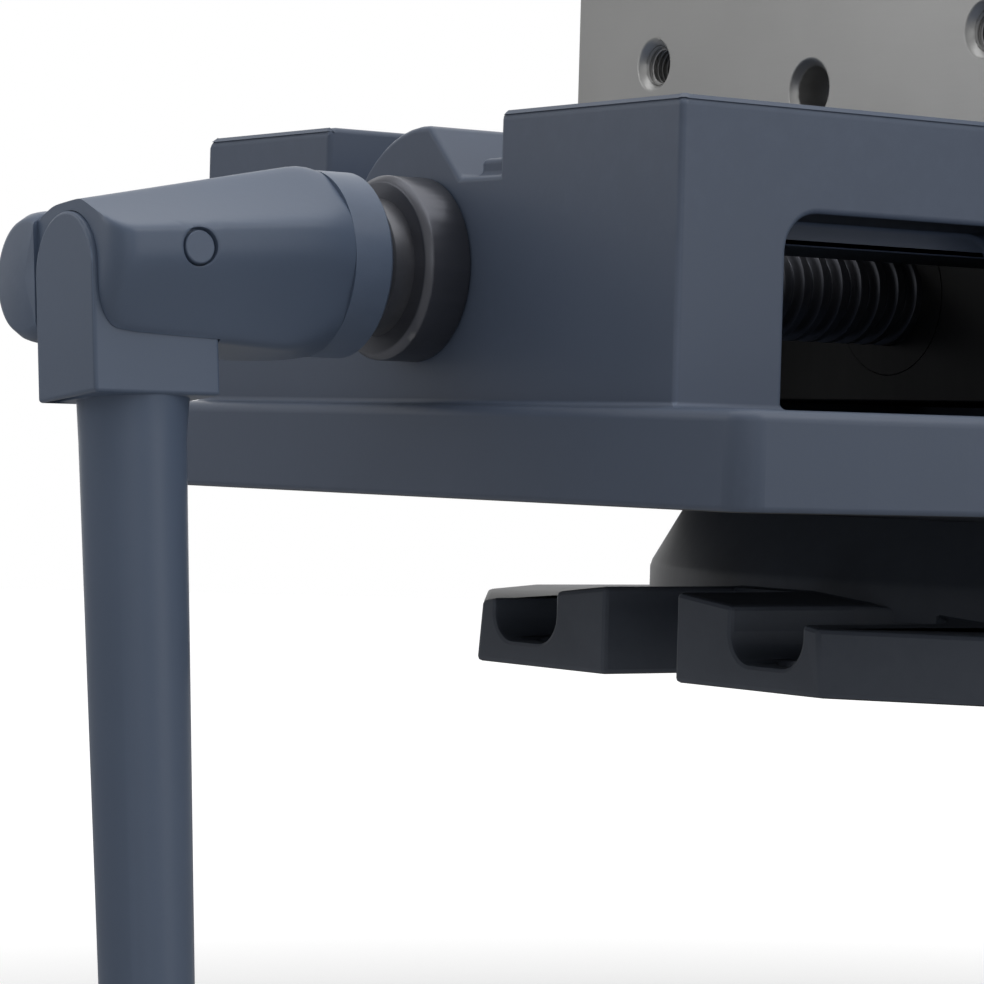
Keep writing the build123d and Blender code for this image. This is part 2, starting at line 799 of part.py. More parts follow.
def hub_turning():
    """The turned shape that rounds the hub's nose and fades its corners into the ring."""
    centre_x = hub_outer_x + hub_nose_round
    middle = hub_nose_round * cos(radians(45))
    round_top = hub_nose_radius + hub_nose_round
    fade_top = ring_radius + (hub_length - hub_nose_round) * hub_fade_slope
    outline = Line((hub_outer_x, 0), (hub_outer_x, hub_nose_radius))
    outline += ThreePointArc(
        (hub_outer_x, hub_nose_radius),
        (centre_x - middle, hub_nose_radius + middle),
        (centre_x, round_top),
    )
    outline += Line((centre_x, round_top), (centre_x, fade_top))
    outline += Line((centre_x, fade_top), (hub_inner_x, ring_radius))
    outline += Line((hub_inner_x, ring_radius), (hub_inner_x, 0))
    outline += Line((hub_inner_x, 0), (hub_outer_x, 0))
    return turned_about_x(outline, axis_z)


def arm_block(gap=0.0):
    """The arm's round-topped block, or with a gap its slot in the hub."""
    half = block_half_y + gap
    crown_z = axis_z - block_crown_drop
    low = axis_z - block_below_axis
    outline = Line((-half, crown_z), (-half, low)) + Line((-half, low), (half, low))
    outline += Line((half, low), (half, crown_z))
    outline += ThreePointArc((half, crown_z), (0, crown_z + half), (-half, crown_z))
    return along_x(outline, block_outer_x - gap, block_inner_x + gap)


def across_hub(radius, y_low, y_high):
    """A round bar across the hub, on the cross pin's line."""
    middle = Pos(cross_pin_x, (y_low + y_high) / 2, axis_z - cross_pin_drop)
    return middle * Rot(90, 0, 0) * Cylinder(radius, y_high - y_low)


def crank_hub():
    """The tapered socket: deep at the vise's side, flat and round-nosed at the arm."""
    half = hub_inner_half
    inner = hub_section(hub_inner_x, half, half, half, hub_inner_band_z)
    outer = hub_section(hub_outer_x, hub_outer_half_y, hub_outer_top, hub_outer_depth, hub_outer_band_z)
    body = loft([outer, inner], ruled=True) & hub_turning()
    ring = bar(ring_radius, hub_inner_x, ring_inner_x)
    body += chamfer(ring.edges().group_by(Axis.X)[-1], ring_chamfer)
    dome_place = Pos(hub_outer_x + dome_from_end, dome_y, axis_z - dome_drop)
    dome = dome_place * Rot(0, 90, 0) * Sphere(dome_radius)
    body += dome & block(block_outer_x, block_inner_x, 0, dome_y + dome_radius, 0, jaw_top_z)
    body -= arm_block(running_gap)
    body -= hex_bar(hex_across_flats + 2 * socket_gap, block_inner_x, ring_inner_x)
    near_y = -2 * hub_outer_half_y
    body -= across_hub(cross_pin_radius, near_y, -near_y)
    groove_y = cross_pin_groove_depth - hub_outer_half_y
    body -= across_hub(cross_pin_radius + cross_pin_groove, near_y, groove_y)
    return body.rotate(screw_line, -crank_turn)


def crank_arm():
    """The arm: a round-topped block, a tapered round bar and the grip's eye."""
    length = axis_z - block_below_axis + block_edge_round - grip_axis_z
    taper = Cone(arm_end_radius, arm_top_radius, length, align=from_low_end)
    body = fillet(arm_block().edges(), block_edge_round) + Pos(arm_x, 0, grip_axis_z) * taper
    eye = bar(eye_radius, eye_outer_x, eye_inner_x, 0, grip_axis_z)
    body += fillet(eye.edges().filter_by(GeomType.CIRCLE), eye_round)
    body -= bar(grip_bolt_radius, eye_outer_x, eye_inner_x, 0, grip_axis_z)
    body -= across_hub(cross_pin_radius, -block_half_y, block_half_y)
    return body.rotate(screw_line, -crank_turn)


def crank_pin():
    """The pin across the hub that holds the arm's block in its slot."""
    reach = hub_outer_half_y - cross_pin_inset
    return across_hub(cross_pin_radius, -reach, reach).rotate(screw_line, -crank_turn)


def grip_bolt():
    """The shouldered bolt that the grip turns on, held in the arm's eye."""
    body = bar(grip_bolt_radius, far_washer_x, eye_inner_x, 0, grip_axis_z)
    head_x = far_washer_x - grip_bolt_head_height
    head = bar(grip_bolt_head_radius, head_x, far_washer_x, 0, grip_axis_z)
    head = chamfer(head.edges().group_by(Axis.X)[0], grip_bolt_chamfer)
    return (body + head).rotate(screw_line, -crank_turn)


def grip_washer(x):
    ring = bar(grip_washer_radius, x, x + grip_washer_thickness, 0, grip_axis_z)
    ring -= bar(grip_bolt_radius, x, x + grip_washer_thickness, 0, grip_axis_z)
    return ring.rotate(screw_line, -crank_turn)


def grip_sleeve():
    """The barrel-shaped grip, free to turn between its two washers."""
    low, high = grip_low_x, grip_high_x
    outline = Line((low, 0), (low, grip_end_radius))
    outline += ThreePointArc(
        (low, grip_end_radius), ((low + high) / 2, grip_mid_radius), (high, grip_end_radius)
    )
    outline += Line((high, grip_end_radius), (high, 0)) + Line((high, 0), (low, 0))
    body = turned_about_x(outline, grip_axis_z)
    body -= bar(grip_bolt_radius + running_gap, low, high, 0, grip_axis_z)
    return body.rotate(screw_line, -crank_turn)


def main():
    os.makedirs("parts", exist_ok=True)
    save("swivel_base", swivel_base())
    save("pivot_pin", pivot_pin())
    save("vise_bed", vise_bed())
    save("clamp_tbolts", *[clamp_bolt(y) for y in (-clamp_radius, clamp_radius)])
    save("clamp_washers", *[clamp_washer(y) for y in (-clamp_radius, clamp_radius)])
    save("clamp_nuts", *[clamp_nut(y) for y in (-clamp_radius, clamp_radius)])
    save("fixed_jaw", fixed_jaw())
    save("fixed_jaw_key", key_space())
    save("fixed_jaw_bolts", *[fixed_jaw_bolt(y) for y in (-jaw_bolt_y, jaw_bolt_y)])
    save("fixed_jaw_plate", jaw_plate(fixed_face_x, fixed_jaw_x, fixed_face_x, 1))
    save("fixed_plate_screws", *plate_screws(fixed_jaw_x, fixed_face_x, 1))
    save("end_bushing", tube(sleeve_radius, screw_radius + running_gap, bed_end_x, race_start_x))
    save("tail_bushing", tube(tail_sleeve_radius, journal_radius + running_gap, far_block_x, tail_end_x))
    save("wall_race", tube(race_radius, race_hole_radius, race_start_x, needle_start_x))
    save("lead_screw", lead_screw())
    save("stop_collar", stop_collar())
    save("collar_set_screw", collar_set_screw())
    save("thrust_needles", needle_ring())
    save("collar_race", tube(race_radius, race_hole_radius, second_race_x, thrust_collar_x))
    save("thrust_collar", thrust_collar())
    save("thrust_pin", thrust_pin())
    save("crank_hub", crank_hub())
    save("crank_arm", crank_arm())
    save("crank_pin", crank_pin())
    save("grip_bolt", grip_bolt())
    save("grip_washers", *[grip_washer(x) for x in (near_washer_x, far_washer_x)])
    save("grip_sleeve", grip_sleeve())
    save("movable_jaw", movable_jaw())
    save("movable_jaw_plate", jaw_plate(jaw_front_x, jaw_front_x, moving_face_x, -1))
    save("movable_plate_screws", *plate_screws(jaw_front_x, moving_face_x, -1))
    save("nut_carrier", nut_carrier())
    save("screw_nut", tube(nut_radius, screw_radius + running_gap, carrier_x, carrier_far_x))
    save("half_ball", half_ball())
    save("jaw_set_screw", jaw_set_screw())


main()
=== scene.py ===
"""The finished surfaces of a machine vise on a swivel base.

Each operator in the sidebar makes one piece, or one group of like pieces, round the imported
model. Lengths in the settings are in metres, as Blender keeps them.
"""

import json
import math

import bmesh
import bpy
import numpy as np
from mathutils import Matrix, Vector

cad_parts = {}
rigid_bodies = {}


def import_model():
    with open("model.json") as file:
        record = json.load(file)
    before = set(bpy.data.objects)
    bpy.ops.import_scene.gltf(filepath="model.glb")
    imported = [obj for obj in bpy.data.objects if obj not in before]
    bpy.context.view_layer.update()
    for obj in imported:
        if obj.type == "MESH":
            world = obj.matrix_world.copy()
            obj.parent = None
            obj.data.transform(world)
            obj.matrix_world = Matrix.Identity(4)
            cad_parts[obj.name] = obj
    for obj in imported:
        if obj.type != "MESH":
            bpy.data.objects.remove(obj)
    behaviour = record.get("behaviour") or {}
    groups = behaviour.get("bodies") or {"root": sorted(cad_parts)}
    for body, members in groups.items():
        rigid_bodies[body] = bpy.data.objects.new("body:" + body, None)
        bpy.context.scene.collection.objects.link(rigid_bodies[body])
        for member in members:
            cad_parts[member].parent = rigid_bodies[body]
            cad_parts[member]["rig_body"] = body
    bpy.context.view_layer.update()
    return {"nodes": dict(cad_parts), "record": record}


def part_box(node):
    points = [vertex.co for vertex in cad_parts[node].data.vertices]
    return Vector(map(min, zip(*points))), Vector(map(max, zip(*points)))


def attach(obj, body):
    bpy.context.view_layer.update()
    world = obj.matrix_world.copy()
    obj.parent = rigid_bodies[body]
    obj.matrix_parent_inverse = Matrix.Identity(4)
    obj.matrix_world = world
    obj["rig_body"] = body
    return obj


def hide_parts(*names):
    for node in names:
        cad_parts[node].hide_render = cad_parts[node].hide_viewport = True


bl_info = {
    "name": "Machine vise",
    "version": (1, 0, 0),
    "blender": (4, 5, 0),
    "location": "View3D > Sidebar > Vise",
    "description": "Makes the finished surfaces of a machine vise on a swivel base",
    "category": "Add Mesh",
}

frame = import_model()

MM = 0.001
FULL_TURN = 2 * math.pi
WELD = 1e-6

SCREW_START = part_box("lead_screw")[0][0]
collar_low, collar_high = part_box("stop_collar")
AXIS_Z = (collar_low[2] + collar_high[2]) / 2
JAW_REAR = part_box("movable_jaw")[0][0]
CRANK_TURN = math.radians(6.0)


# Settings


def edge_length(name, description, default, low, high):
    """A length setting, with its default and limits in metres."""
    return bpy.props.FloatProperty(
        name=name, description=description, default=default, min=low, max=high, unit="LENGTH", precision=5
    )


class ViseSizes(bpy.types.PropertyGroup):
    """Lengths that only the finished surfaces have."""

    cast_edge: edge_length("Cast edge", "Rounding of the edges of the castings", 1.2 * MM, 0.1 * MM, 2.0 * MM)
    ground_edge: edge_length(
        "Ground edge", "Rounding of the edges of ground and turned steel", 0.35 * MM, 0.05 * MM, 1.0 * MM
    )
    thread_pitch: edge_length(
        "Thread pitch", "Lead of the screw's single left-hand thread", 5.0 * MM, 2.0 * MM, 8.0 * MM
    )
    thread_depth: edge_length("Thread depth", "Depth of the screw's thread", 2.3 * MM, 0.5 * MM, 3.0 * MM)


def paint(name, description, colour):
    """A colour setting with its default in linear light."""
    return bpy.props.FloatVectorProperty(
        name=name, description=description, subtype="COLOR", size=3, min=0.0, max=1.0, default=colour
    )


class ViseColours(bpy.types.PropertyGroup):
    """Colours of the finishes."""

    body: paint("Body enamel", "Blue-grey enamel of the bed", (0.093, 0.12, 0.176))
    # Darker than the bed's enamel: painted shade for the shadow under the flange.
    base: paint("Base enamel", "Blue-black enamel of the swivel base", (0.07, 0.083, 0.11))
    # Lighter than the bed's enamel, though it is the same paint: painted light for the brighter light on the
    # crank.
    crank: paint("Crank enamel", "Blue-grey enamel of the crank", (0.106, 0.142, 0.212))
    jaw: paint("Ground steel", "Steel of the two jaws", (0.5, 0.5, 0.495))
    plate: paint("Plate steel", "Hardened steel of the jaw plates", (0.47, 0.47, 0.46))
    bright: paint("Bright steel", "Turned and oiled steel", (0.45, 0.45, 0.46))
    black: paint("Blackened steel", "Oil-blackened steel of the collar, screw and bolts", (0.125, 0.13, 0.15))
    # Its near-black tone is painted shade for the shade inside the bed, where the nut is seen through the
    # window.
    iron: paint("Machined iron", "Oiled machined iron of the nut and its carrier", (0.05, 0.05, 0.05))
    bronze: paint("Bronze", "Turned bronze of the bushings", (0.45, 0.28, 0.12))
    plastic: paint("Grip plastic", "Black moulded plastic of the grip", (0.02, 0.02, 0.022))


def strength(name, description, default):
    """A setting of how strong a light is."""
    return bpy.props.FloatProperty(name=name, description=description, default=default, min=0.0, max=4.0)


class ViseStage(bpy.types.PropertyGroup):
    """Light and floor of the reference view."""

    sky: strength("Sky", "Strength of the even light from all sides", 0.34)
    backdrop: strength("Backdrop", "Strength of the light from behind the object", 1.5)
    floor_height: bpy.props.FloatProperty(
        name="Floor height",
        description="Height of the floor, below the lowest point of the crank's round",
        default=-0.16,
        unit="LENGTH",
    )


# Shapes, worked out as whole arrays


def grid_faces(rows, columns, closed=False):
    """Four-sided faces between the neighbours of a grid of points, row by row. In a closed
    grid the last column meets the first."""
    i, j = np.meshgrid(np.arange(rows - 1), np.arange(columns if closed else columns - 1), indexing="ij")
    after = (j + 1) % columns
    corners = [i * columns + j, (i + 1) * columns + j, (i + 1) * columns + after, i * columns + after]
    return np.stack(corners, -1).reshape(-1, 4)


def lathe(profile, centre=(0, 0, AXIS_Z), along="x", turns=64):
    """A turned surface: the profile's points (place along the axis, radius) are carried
    round the axis, so the two cross coordinates are radius times cosine and sine of the
    angle."""
    profile = np.asarray(profile, float)
    angle = np.linspace(0, FULL_TURN, turns, endpoint=False)
    length = np.broadcast_to(profile[:, :1], (len(profile), turns))
    across = profile[:, 1:] * np.cos(angle)
    up = profile[:, 1:] * np.sin(angle)
    order = {"x": (length, across, up), "z": (across, up, length)}[along]
    points = np.stack(order, -1).reshape(-1, 3) + np.asarray(centre, float)
    return points, grid_faces(len(profile), turns, closed=True)


def thread(start, end, major, depth, pitch, hand, centre=(0, 0, AXIS_Z), turns=48, inner=False):
    """A screw thread along X: a point of the grid lies at start + pitch * (share + hand *
    angle / full turn), and its radius is the major radius less the depth times a flat-topped
    wave of the share. The wave dies away over the last turn at each end. With inner the
    thread stands inwards from the wall of a hole."""
    wave_at = np.array([0.0, 0.02, 0.19, 0.36, 0.38, 0.44, 0.5, 0.52, 0.69, 0.86, 0.88, 0.94])
    wave = np.array([0.04, 0.0, 0.0, 0.0, 0.04, 0.5, 0.96, 1.0, 1.0, 1.0, 0.96, 0.5])
    count = int(math.ceil((end - start) / pitch)) + 2
    share = (np.arange(-1, count)[:, None] + wave_at).reshape(-1)
    depths = np.tile(wave, count + 1)
    angle = np.linspace(0, FULL_TURN, turns + 1)
    place = np.clip(start + pitch * (share[:, None] + hand * angle / FULL_TURN), start, end)
    fade = np.clip(np.minimum(place - start, end - place) / pitch, 0, 1)
    cut = 1 - depths if inner else depths
    radius = major - depth * cut[:, None] * fade
    points = np.stack([place, radius * np.cos(angle), radius * np.sin(angle)], -1)
    return points.reshape(-1, 3) + np.asarray(centre, float), grid_faces(len(share), turns + 1)


def six_sided(across_flats, start, end, corner, chamfer, turn, turns=96):
    """A hexagonal bar along the screw: its radius at an angle is half the width across flats
    over the cosine of the angle from the nearest flat, and never more than the corner
    radius, which falls off at the start as the chamfer's cone does."""
    angle = np.linspace(0, FULL_TURN, turns, endpoint=False)
    off_flat = np.mod(angle, FULL_TURN / 6) - FULL_TURN / 12
    flat = across_flats / 2 / np.cos(off_flat)
    x = np.array([start, start, start + chamfer, end, end])
    limit = np.array([0.0, corner - chamfer, corner, corner, 0.0])
    radius = np.minimum(flat, limit[:, None])
    place = np.broadcast_to(x[:, None], radius.shape)
    points = np.stack([place, radius * np.cos(angle + turn), AXIS_Z + radius * np.sin(angle + turn)], -1)
    return points.reshape(-1, 3), grid_faces(len(x), turns, closed=True)


def turned_with_crank(points):
    """Points of the crank, made with its arm straight down and turned about the screw."""
    cos, sin = math.cos(-CRANK_TURN), math.sin(-CRANK_TURN)
    y, z = points[:, 1], points[:, 2] - AXIS_Z
    return np.stack([points[:, 0], y * cos - z * sin, AXIS_Z + y * sin + z * cos], -1)


# The swivel base

NECK_TOP, NECK_BOTTOM = 33.0 * MM, 12.8 * MM
NECK_WALL = 112.0 * MM
NECK_RADIUS, FLARE_RADIUS, FLARE_FOOT_RADIUS = 116.2 * MM, 123.1 * MM, 123.6 * MM
FLARE_END, FLARE_FOOT = 21.0 * MM, 19.5 * MM
ROOF_Z = 17.9 * MM
LUG_SIDE_Y, CORNER_Y, FOOT_END_Y = 56.0 * MM, 102.8 * MM, 124.0 * MM
CORNER_SET_BACK = 9.3 * MM
SET_BACK_FROM, SET_BACK_WIDTH = 105.0 * MM, 19.0 * MM
LEAN = 0.12
LEAN_FROM, LEAN_WIDTH, LEAN_RADIUS = 51.0 * MM, 5.0 * MM, 125.0 * MM


def neck_flare():
    """The straight flare under the neck: a ring turned about the swivel's axis, whose outer
    side is a cone that ends in a short upright wall on the foot."""
    section = [
        (NECK_TOP, NECK_WALL),
        (NECK_TOP, NECK_RADIUS),
        (FLARE_END, FLARE_RADIUS),
        (FLARE_FOOT, FLARE_FOOT_RADIUS),
        (NECK_BOTTOM, FLARE_FOOT_RADIUS),
        (NECK_BOTTOM, NECK_WALL),
        (NECK_TOP, NECK_WALL),
    ]
    return lathe(section, (0, 0, 0), "z", turns=192)


def base_form(points):
    """The swivel base as the photograph has it: the foot's corners set back, and its outer
    sides leaning inwards as they rise."""
    x, y, z = points.T
    back = np.interp(abs(y), [LUG_SIDE_Y, CORNER_Y, FOOT_END_Y], [0, CORNER_SET_BACK, 0])
    x = x - np.sign(x) * back * np.clip((abs(x) - SET_BACK_FROM) / SET_BACK_WIDTH, 0, 1)
    outer = (z < ROOF_Z) & (np.hypot(x, y) > LEAN_RADIUS)
    lean = LEAN * z * np.clip((abs(y) - LEAN_FROM) / LEAN_WIDTH, 0, 1) * outer
    return np.stack([x, y - np.sign(y) * lean, z], -1)


# The crank

ARM_X = -276.2 * MM
BAR_TOP, BAR_END = -26.7 * MM, -187.0 * MM
BAR_SHARE = 0.965
BAR_OUTWARDS = 0.3 * MM

HUB_OUTER, HUB_INNER, RING_INNER = -288.8 * MM, -238.6 * MM, -230.1 * MM
HUB_HALF = 18.5 * MM
HUB_POWER = 34.0
# Corners of the hub's section at its two ends, in mm across and above the screw's axis.
HUB_OUTER_CORNERS = (
    (-18.5, -4.1),
    (-18.5, 1.5),
    (-5.0, 8.6),
    (5.0, 8.6),
    (18.5, 4.1),
    (18.5, -1.5),
    (11.5, -15.5),
    (-11.5, -15.5),
)
HUB_INNER_CORNERS = (
    (-18.5, -0.1),
    (-18.5, 5.5),
    (-5.0, 18.5),
    (5.0, 18.5),
    (18.5, 0.1),
    (18.5, -5.5),
    (10.0, -18.5),
    (-10.0, -18.5),
)
NOSE_RADIUS, NOSE_ROUND = 13.0 * MM, 7.0 * MM
RING_RADIUS, RING_CHAMFER, FADE_SLOPE = 17.4 * MM, 0.8 * MM, 0.3
SOCKET_RADIUS, SOCKET_CHAMFER, SOCKET_DEPTH = 8.7 * MM, 0.7 * MM, 30.0 * MM
SLOT_INNER, SLOT_HALF, SLOT_CROWN = -264.05 * MM, 10.85 * MM, -3.9 * MM
NOSE_STEPS, BLOCK_STEPS, TAPER_STEPS = 10, 4, 14
OVER_STEPS, FAR_STEPS, SLOT_STEPS, UNDER_STEPS = 71, 19, 25, 25
PIN_X, PIN_Z = -272.1 * MM, -1.0 * MM
# Radii of the grid's rings round the cross pin, and how deep each lies below the skin.
PIN_RINGS = np.array([0.0, 0.8, 1.6, 2.4, 3.0, 3.52, 3.6, 3.75, 4.2, 4.7, 5.2]) * MM
PIN_DEPTHS = np.array([1.2] * 6 + [0.08] + [0.0] * 4) * MM
DOME_X, DOME_Y, DOME_Z = -283.9 * MM, 15.0 * MM, AXIS_Z - 3.0 * MM
DOME_RADIUS, DOME_FACE = 12.2 * MM, -289.8 * MM
DOME_EDGE, DOME_EDGE_DEPTH, DOME_EDGE_INSET = 1.0 * MM, 0.25 * MM, 0.3 * MM
DOME_STEPS = 24


def arm_form(points):
    """The crank's arm with its bar drawn in to the photograph's width about its own axis."""
    x, y, z = points.T
    cos, sin = math.cos(CRANK_TURN), math.sin(CRANK_TURN)
    across, up = y * cos - (z - AXIS_Z) * sin, y * sin + (z - AXIS_Z) * cos
    share = np.where((up < BAR_TOP) & (up > BAR_END), BAR_SHARE, 1.0)
    x = np.where(share < 1, ARM_X - BAR_OUTWARDS + (x - ARM_X) * share, x)
    across = across * share
    return np.stack([x, across * cos + up * sin, AXIS_Z - across * sin + up * cos], -1)


def hub_radius(x, angle):
    """Distance of the hub's skin from the screw's axis at a place and an angle: the power
    mean, with a large negative power, of the distances to its eight facets and to the turned
    limit of the nose and the ring, which leaves the facets flat and their edges rounded."""
    share = ((x - HUB_OUTER) / (HUB_INNER - HUB_OUTER))[..., None, None]
    corners = (np.array(HUB_OUTER_CORNERS) * (1 - share) + np.array(HUB_INNER_CORNERS) * share) * MM
    side = np.roll(corners, -1, -2) - corners
    facing = np.stack([-side[..., 1], side[..., 0]], -1)
    facing /= np.linalg.norm(facing, axis=-1, keepdims=True)
    distance = (facing * corners).sum(-1)
    ray = np.stack([np.cos(angle), np.sin(angle)], -1)[..., None, :]
    nearness = np.maximum((facing * ray).sum(-1) / distance, 0)
    inset = np.maximum(HUB_OUTER + NOSE_ROUND - x, 0)
    nose = NOSE_RADIUS + np.sqrt(np.maximum(NOSE_ROUND**2 - inset**2, 0))
    fade = RING_RADIUS + FADE_SLOPE * (HUB_INNER - x)
    limit = np.where(inset > 0, nose, fade)
    return ((nearness**HUB_POWER).sum(-1) + (1 / limit) ** HUB_POWER) ** (-1 / HUB_POWER)


def slot_edge(x, sign, first_guess=-0.9, rounds=40):
    """The angle of the slot's lower edge at each place: there the skin's radius times the
    angle's cosine is half the slot's width, found by repeated substitution."""
    angle = np.full(len(x), first_guess)
    for _ in range(rounds):
        skin = hub_radius(x, angle if sign > 0 else math.pi - angle)
        angle = -np.arccos(np.clip(SLOT_HALF / skin, -1, 1))
    return angle if sign > 0 else math.pi - angle


def hub_grid():
    """Places along the screw and angles round it for the hub's skin above the slot. Round
    the cross pin the grid's square rings are drawn in to circles, so that the pin's hole
    comes out round, and their depth below the skin is that of its groove."""
    count = len(PIN_RINGS) - 1
    reach = PIN_RINGS[-1]
    x = np.concatenate(
        [
            HUB_OUTER + NOSE_ROUND * (1 - np.cos(np.linspace(0, math.pi / 2, NOSE_STEPS))),
            np.linspace(HUB_OUTER + NOSE_ROUND, PIN_X - reach, BLOCK_STEPS)[1:-1],
            np.linspace(PIN_X - reach, PIN_X + reach, 2 * count + 1),
            [SLOT_INNER],
            np.linspace(SLOT_INNER, HUB_INNER, TAPER_STEPS)[1:],
        ]
    )
    at_pin = int(np.argmin(abs(x - PIN_X)))
    middle = math.pi - math.asin(PIN_Z / HUB_HALF)
    spread = reach / HUB_HALF
    low, high = slot_edge(x, 1), slot_edge(x, -1)
    before = np.linspace(0, 1, OVER_STEPS)[None, :-1]
    around = np.linspace(middle - spread, middle + spread, 2 * count + 1)
    after = np.linspace(0, 1, FAR_STEPS)[None, 1:]
    angle = np.concatenate(
        [
            low[:, None] * (1 - before) + (middle - spread) * before,
            np.broadcast_to(around, (len(x), len(around))),
            (middle + spread) * (1 - after) + high[:, None] * after,
        ],
        1,
    )
    place = np.broadcast_to(x[:, None], angle.shape).copy()
    depth = np.zeros_like(place)
    u, v = np.meshgrid(np.arange(-count, count + 1), np.arange(-count, count + 1), indexing="ij")
    ring = np.maximum(abs(u), abs(v))
    square = np.stack([u, v], -1) / np.maximum(ring, 1)[..., None]
    circle = np.stack([u, v], -1) / np.maximum(np.hypot(u, v), 1)[..., None]
    outside = np.clip(ring - (count - 2), 0, 2)[..., None] / 2
    offset = PIN_RINGS[ring][..., None] * (circle * (1 - outside) + square * outside)
    rows = slice(at_pin - count, at_pin + count + 1)
    columns = slice(before.size, before.size + 2 * count + 1)
    place[rows, columns] = PIN_X + offset[..., 0]
    angle[rows, columns] = middle + offset[..., 1] / HUB_HALF
    depth[rows, columns] = PIN_DEPTHS[ring]
    return x, place, angle, depth


def round_screw(x, radius, angle):
    """Points at a place along the screw, a radius and an angle about its axis."""
    return np.stack([x, radius * np.cos(angle), AXIS_Z + radius * np.sin(angle)], -1)


def hub_skin():
    """The hub without its dome, arm straight down: one grid of places along the screw by
    angles round it. As far as the block reaches it is open below, and the slot's wall, a
    half circle on two straight sides, joins its lower edges; behind that it is whole and
    runs on into the ring and the socket."""
    x, place, angle, depth = hub_grid()
    split = int(np.argmin(abs(x - SLOT_INNER)))
    over = round_screw(place, hub_radius(place, angle) - depth, angle)
    wall_x, turn = np.broadcast_arrays(x[: split + 1, None], np.linspace(math.pi, 0, SLOT_STEPS))
    wall = round_screw(wall_x, SLOT_HALF, turn) + (0, 0, SLOT_CROWN)
    slotted = np.concatenate([over[: split + 1], wall], 1)
    share = np.linspace(0, 1, UNDER_STEPS)[None, 1:-1]
    below = angle[split:, -1:] * (1 - share) + (angle[split:, :1] + FULL_TURN) * share
    under_x, below = np.broadcast_arrays(x[split:, None], below)
    under = round_screw(under_x, hub_radius(under_x, below), below)
    whole = np.concatenate([over[split:], under], 1)
    turn = np.arctan2(whole[-1, :, 2] - AXIS_Z, whole[-1, :, 1])
    ends = [
        (HUB_INNER, RING_RADIUS),
        (RING_INNER - RING_CHAMFER, RING_RADIUS),
        (RING_INNER, RING_RADIUS - RING_CHAMFER),
        (RING_INNER, SOCKET_RADIUS + SOCKET_CHAMFER),
        (RING_INNER - SOCKET_CHAMFER, SOCKET_RADIUS),
        (RING_INNER - SOCKET_DEPTH, SOCKET_RADIUS),
    ]
    ring = [round_screw(np.full(len(turn), place), radius, turn) for place, radius in ends]
    whole = np.concatenate([whole, np.array(ring)])
    return [(part.reshape(-1, 3), grid_faces(*part.shape[:2], closed=True)) for part in (slotted, whole)]


def dome():
    """The dome on the hub's far side: a turned flat end and a ball behind it. What would
    stand in the block's slot is drawn back to its side."""
    start = math.acos((DOME_X - DOME_FACE) / DOME_RADIUS)
    angle = np.linspace(start, math.pi, DOME_STEPS)
    ball = np.stack([DOME_X - DOME_RADIUS * np.cos(angle), DOME_RADIUS * np.sin(angle)], -1)
    edge = ball[0][1]
    flat = [
        (DOME_FACE, 0.0),
        (DOME_FACE, edge - DOME_EDGE),
        (DOME_FACE + DOME_EDGE_DEPTH, edge - DOME_EDGE_INSET),
    ]
    points, faces = lathe(np.concatenate([flat, ball[2:]]), (0, DOME_Y, DOME_Z), turns=72)
    points[:, 1] = np.maximum(points[:, 1], SLOT_HALF)
    return points, faces


# Meshes and pieces

FLAT_ANGLE = math.radians(0.2)
SHALLOW_DEGREES, STEEP_DEGREES = 0.5, 25
BROAD_AREA, BROAD_SHARE = 150 * MM**2, 0.008


def mesh_of(name, shells, closed=True, sharp=32.0):
    """One mesh of several shells: doubled points are joined, the open ends of a closed mesh
    are filled, faces point outwards, and edges stay hard where faces meet more steeply than
    the sharp angle in degrees."""
    start = np.cumsum([0] + [len(points) for points, _ in shells])
    points = np.concatenate([points for points, _ in shells])
    faces = np.concatenate([faces + first for (_, faces), first in zip(shells, start)])
    mesh = bpy.data.meshes.new(name)
    mesh.from_pydata(points, [], faces.tolist())
    bm = bmesh.new()
    bm.from_mesh(mesh)
    bmesh.ops.remove_doubles(bm, verts=bm.verts, dist=WELD)
    if closed:
        bmesh.ops.holes_fill(bm, edges=bm.edges, sides=0)
    bmesh.ops.dissolve_degenerate(bm, edges=bm.edges, dist=WELD)
    bmesh.ops.recalc_face_normals(bm, faces=bm.faces)
    bm.to_mesh(mesh)
    bm.free()
    mesh.shade_smooth()
    mesh.set_sharp_from_angle(angle=math.radians(sharp))
    return mesh


def add_piece(mesh, body, slot, stands_for=()):
    """Links a mesh as a piece that rides on a body and wears a slot's finish."""
    piece = bpy.data.objects.new(mesh.name, mesh)
    bpy.context.scene.collection.objects.link(piece)
    mesh.materials.clear()
    mesh.materials.append(finish_of(slot))
    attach(piece, body)
    if stands_for:
        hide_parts(*stands_for)
    return piece


def is_curved(face):
    """True of a face that meets a neighbour at a shallow angle."""
    angles = [math.degrees(line.calc_face_angle(0.0)) for line in face.edges]
    return any(SHALLOW_DEGREES < angle < STEEP_DEGREES for angle in angles)


def is_broad(face):
    """True of a large flat face, and not of the narrow strips that curved surfaces have."""
    area = face.calc_area()
    return area > BROAD_AREA and area > BROAD_SHARE * face.calc_perimeter() ** 2


def slot_of(node):
    """The record's material slot of a node."""
    rows = {row["node"]: row["material_slot"] for row in frame["record"]["subparts"]}
    return rows[node]


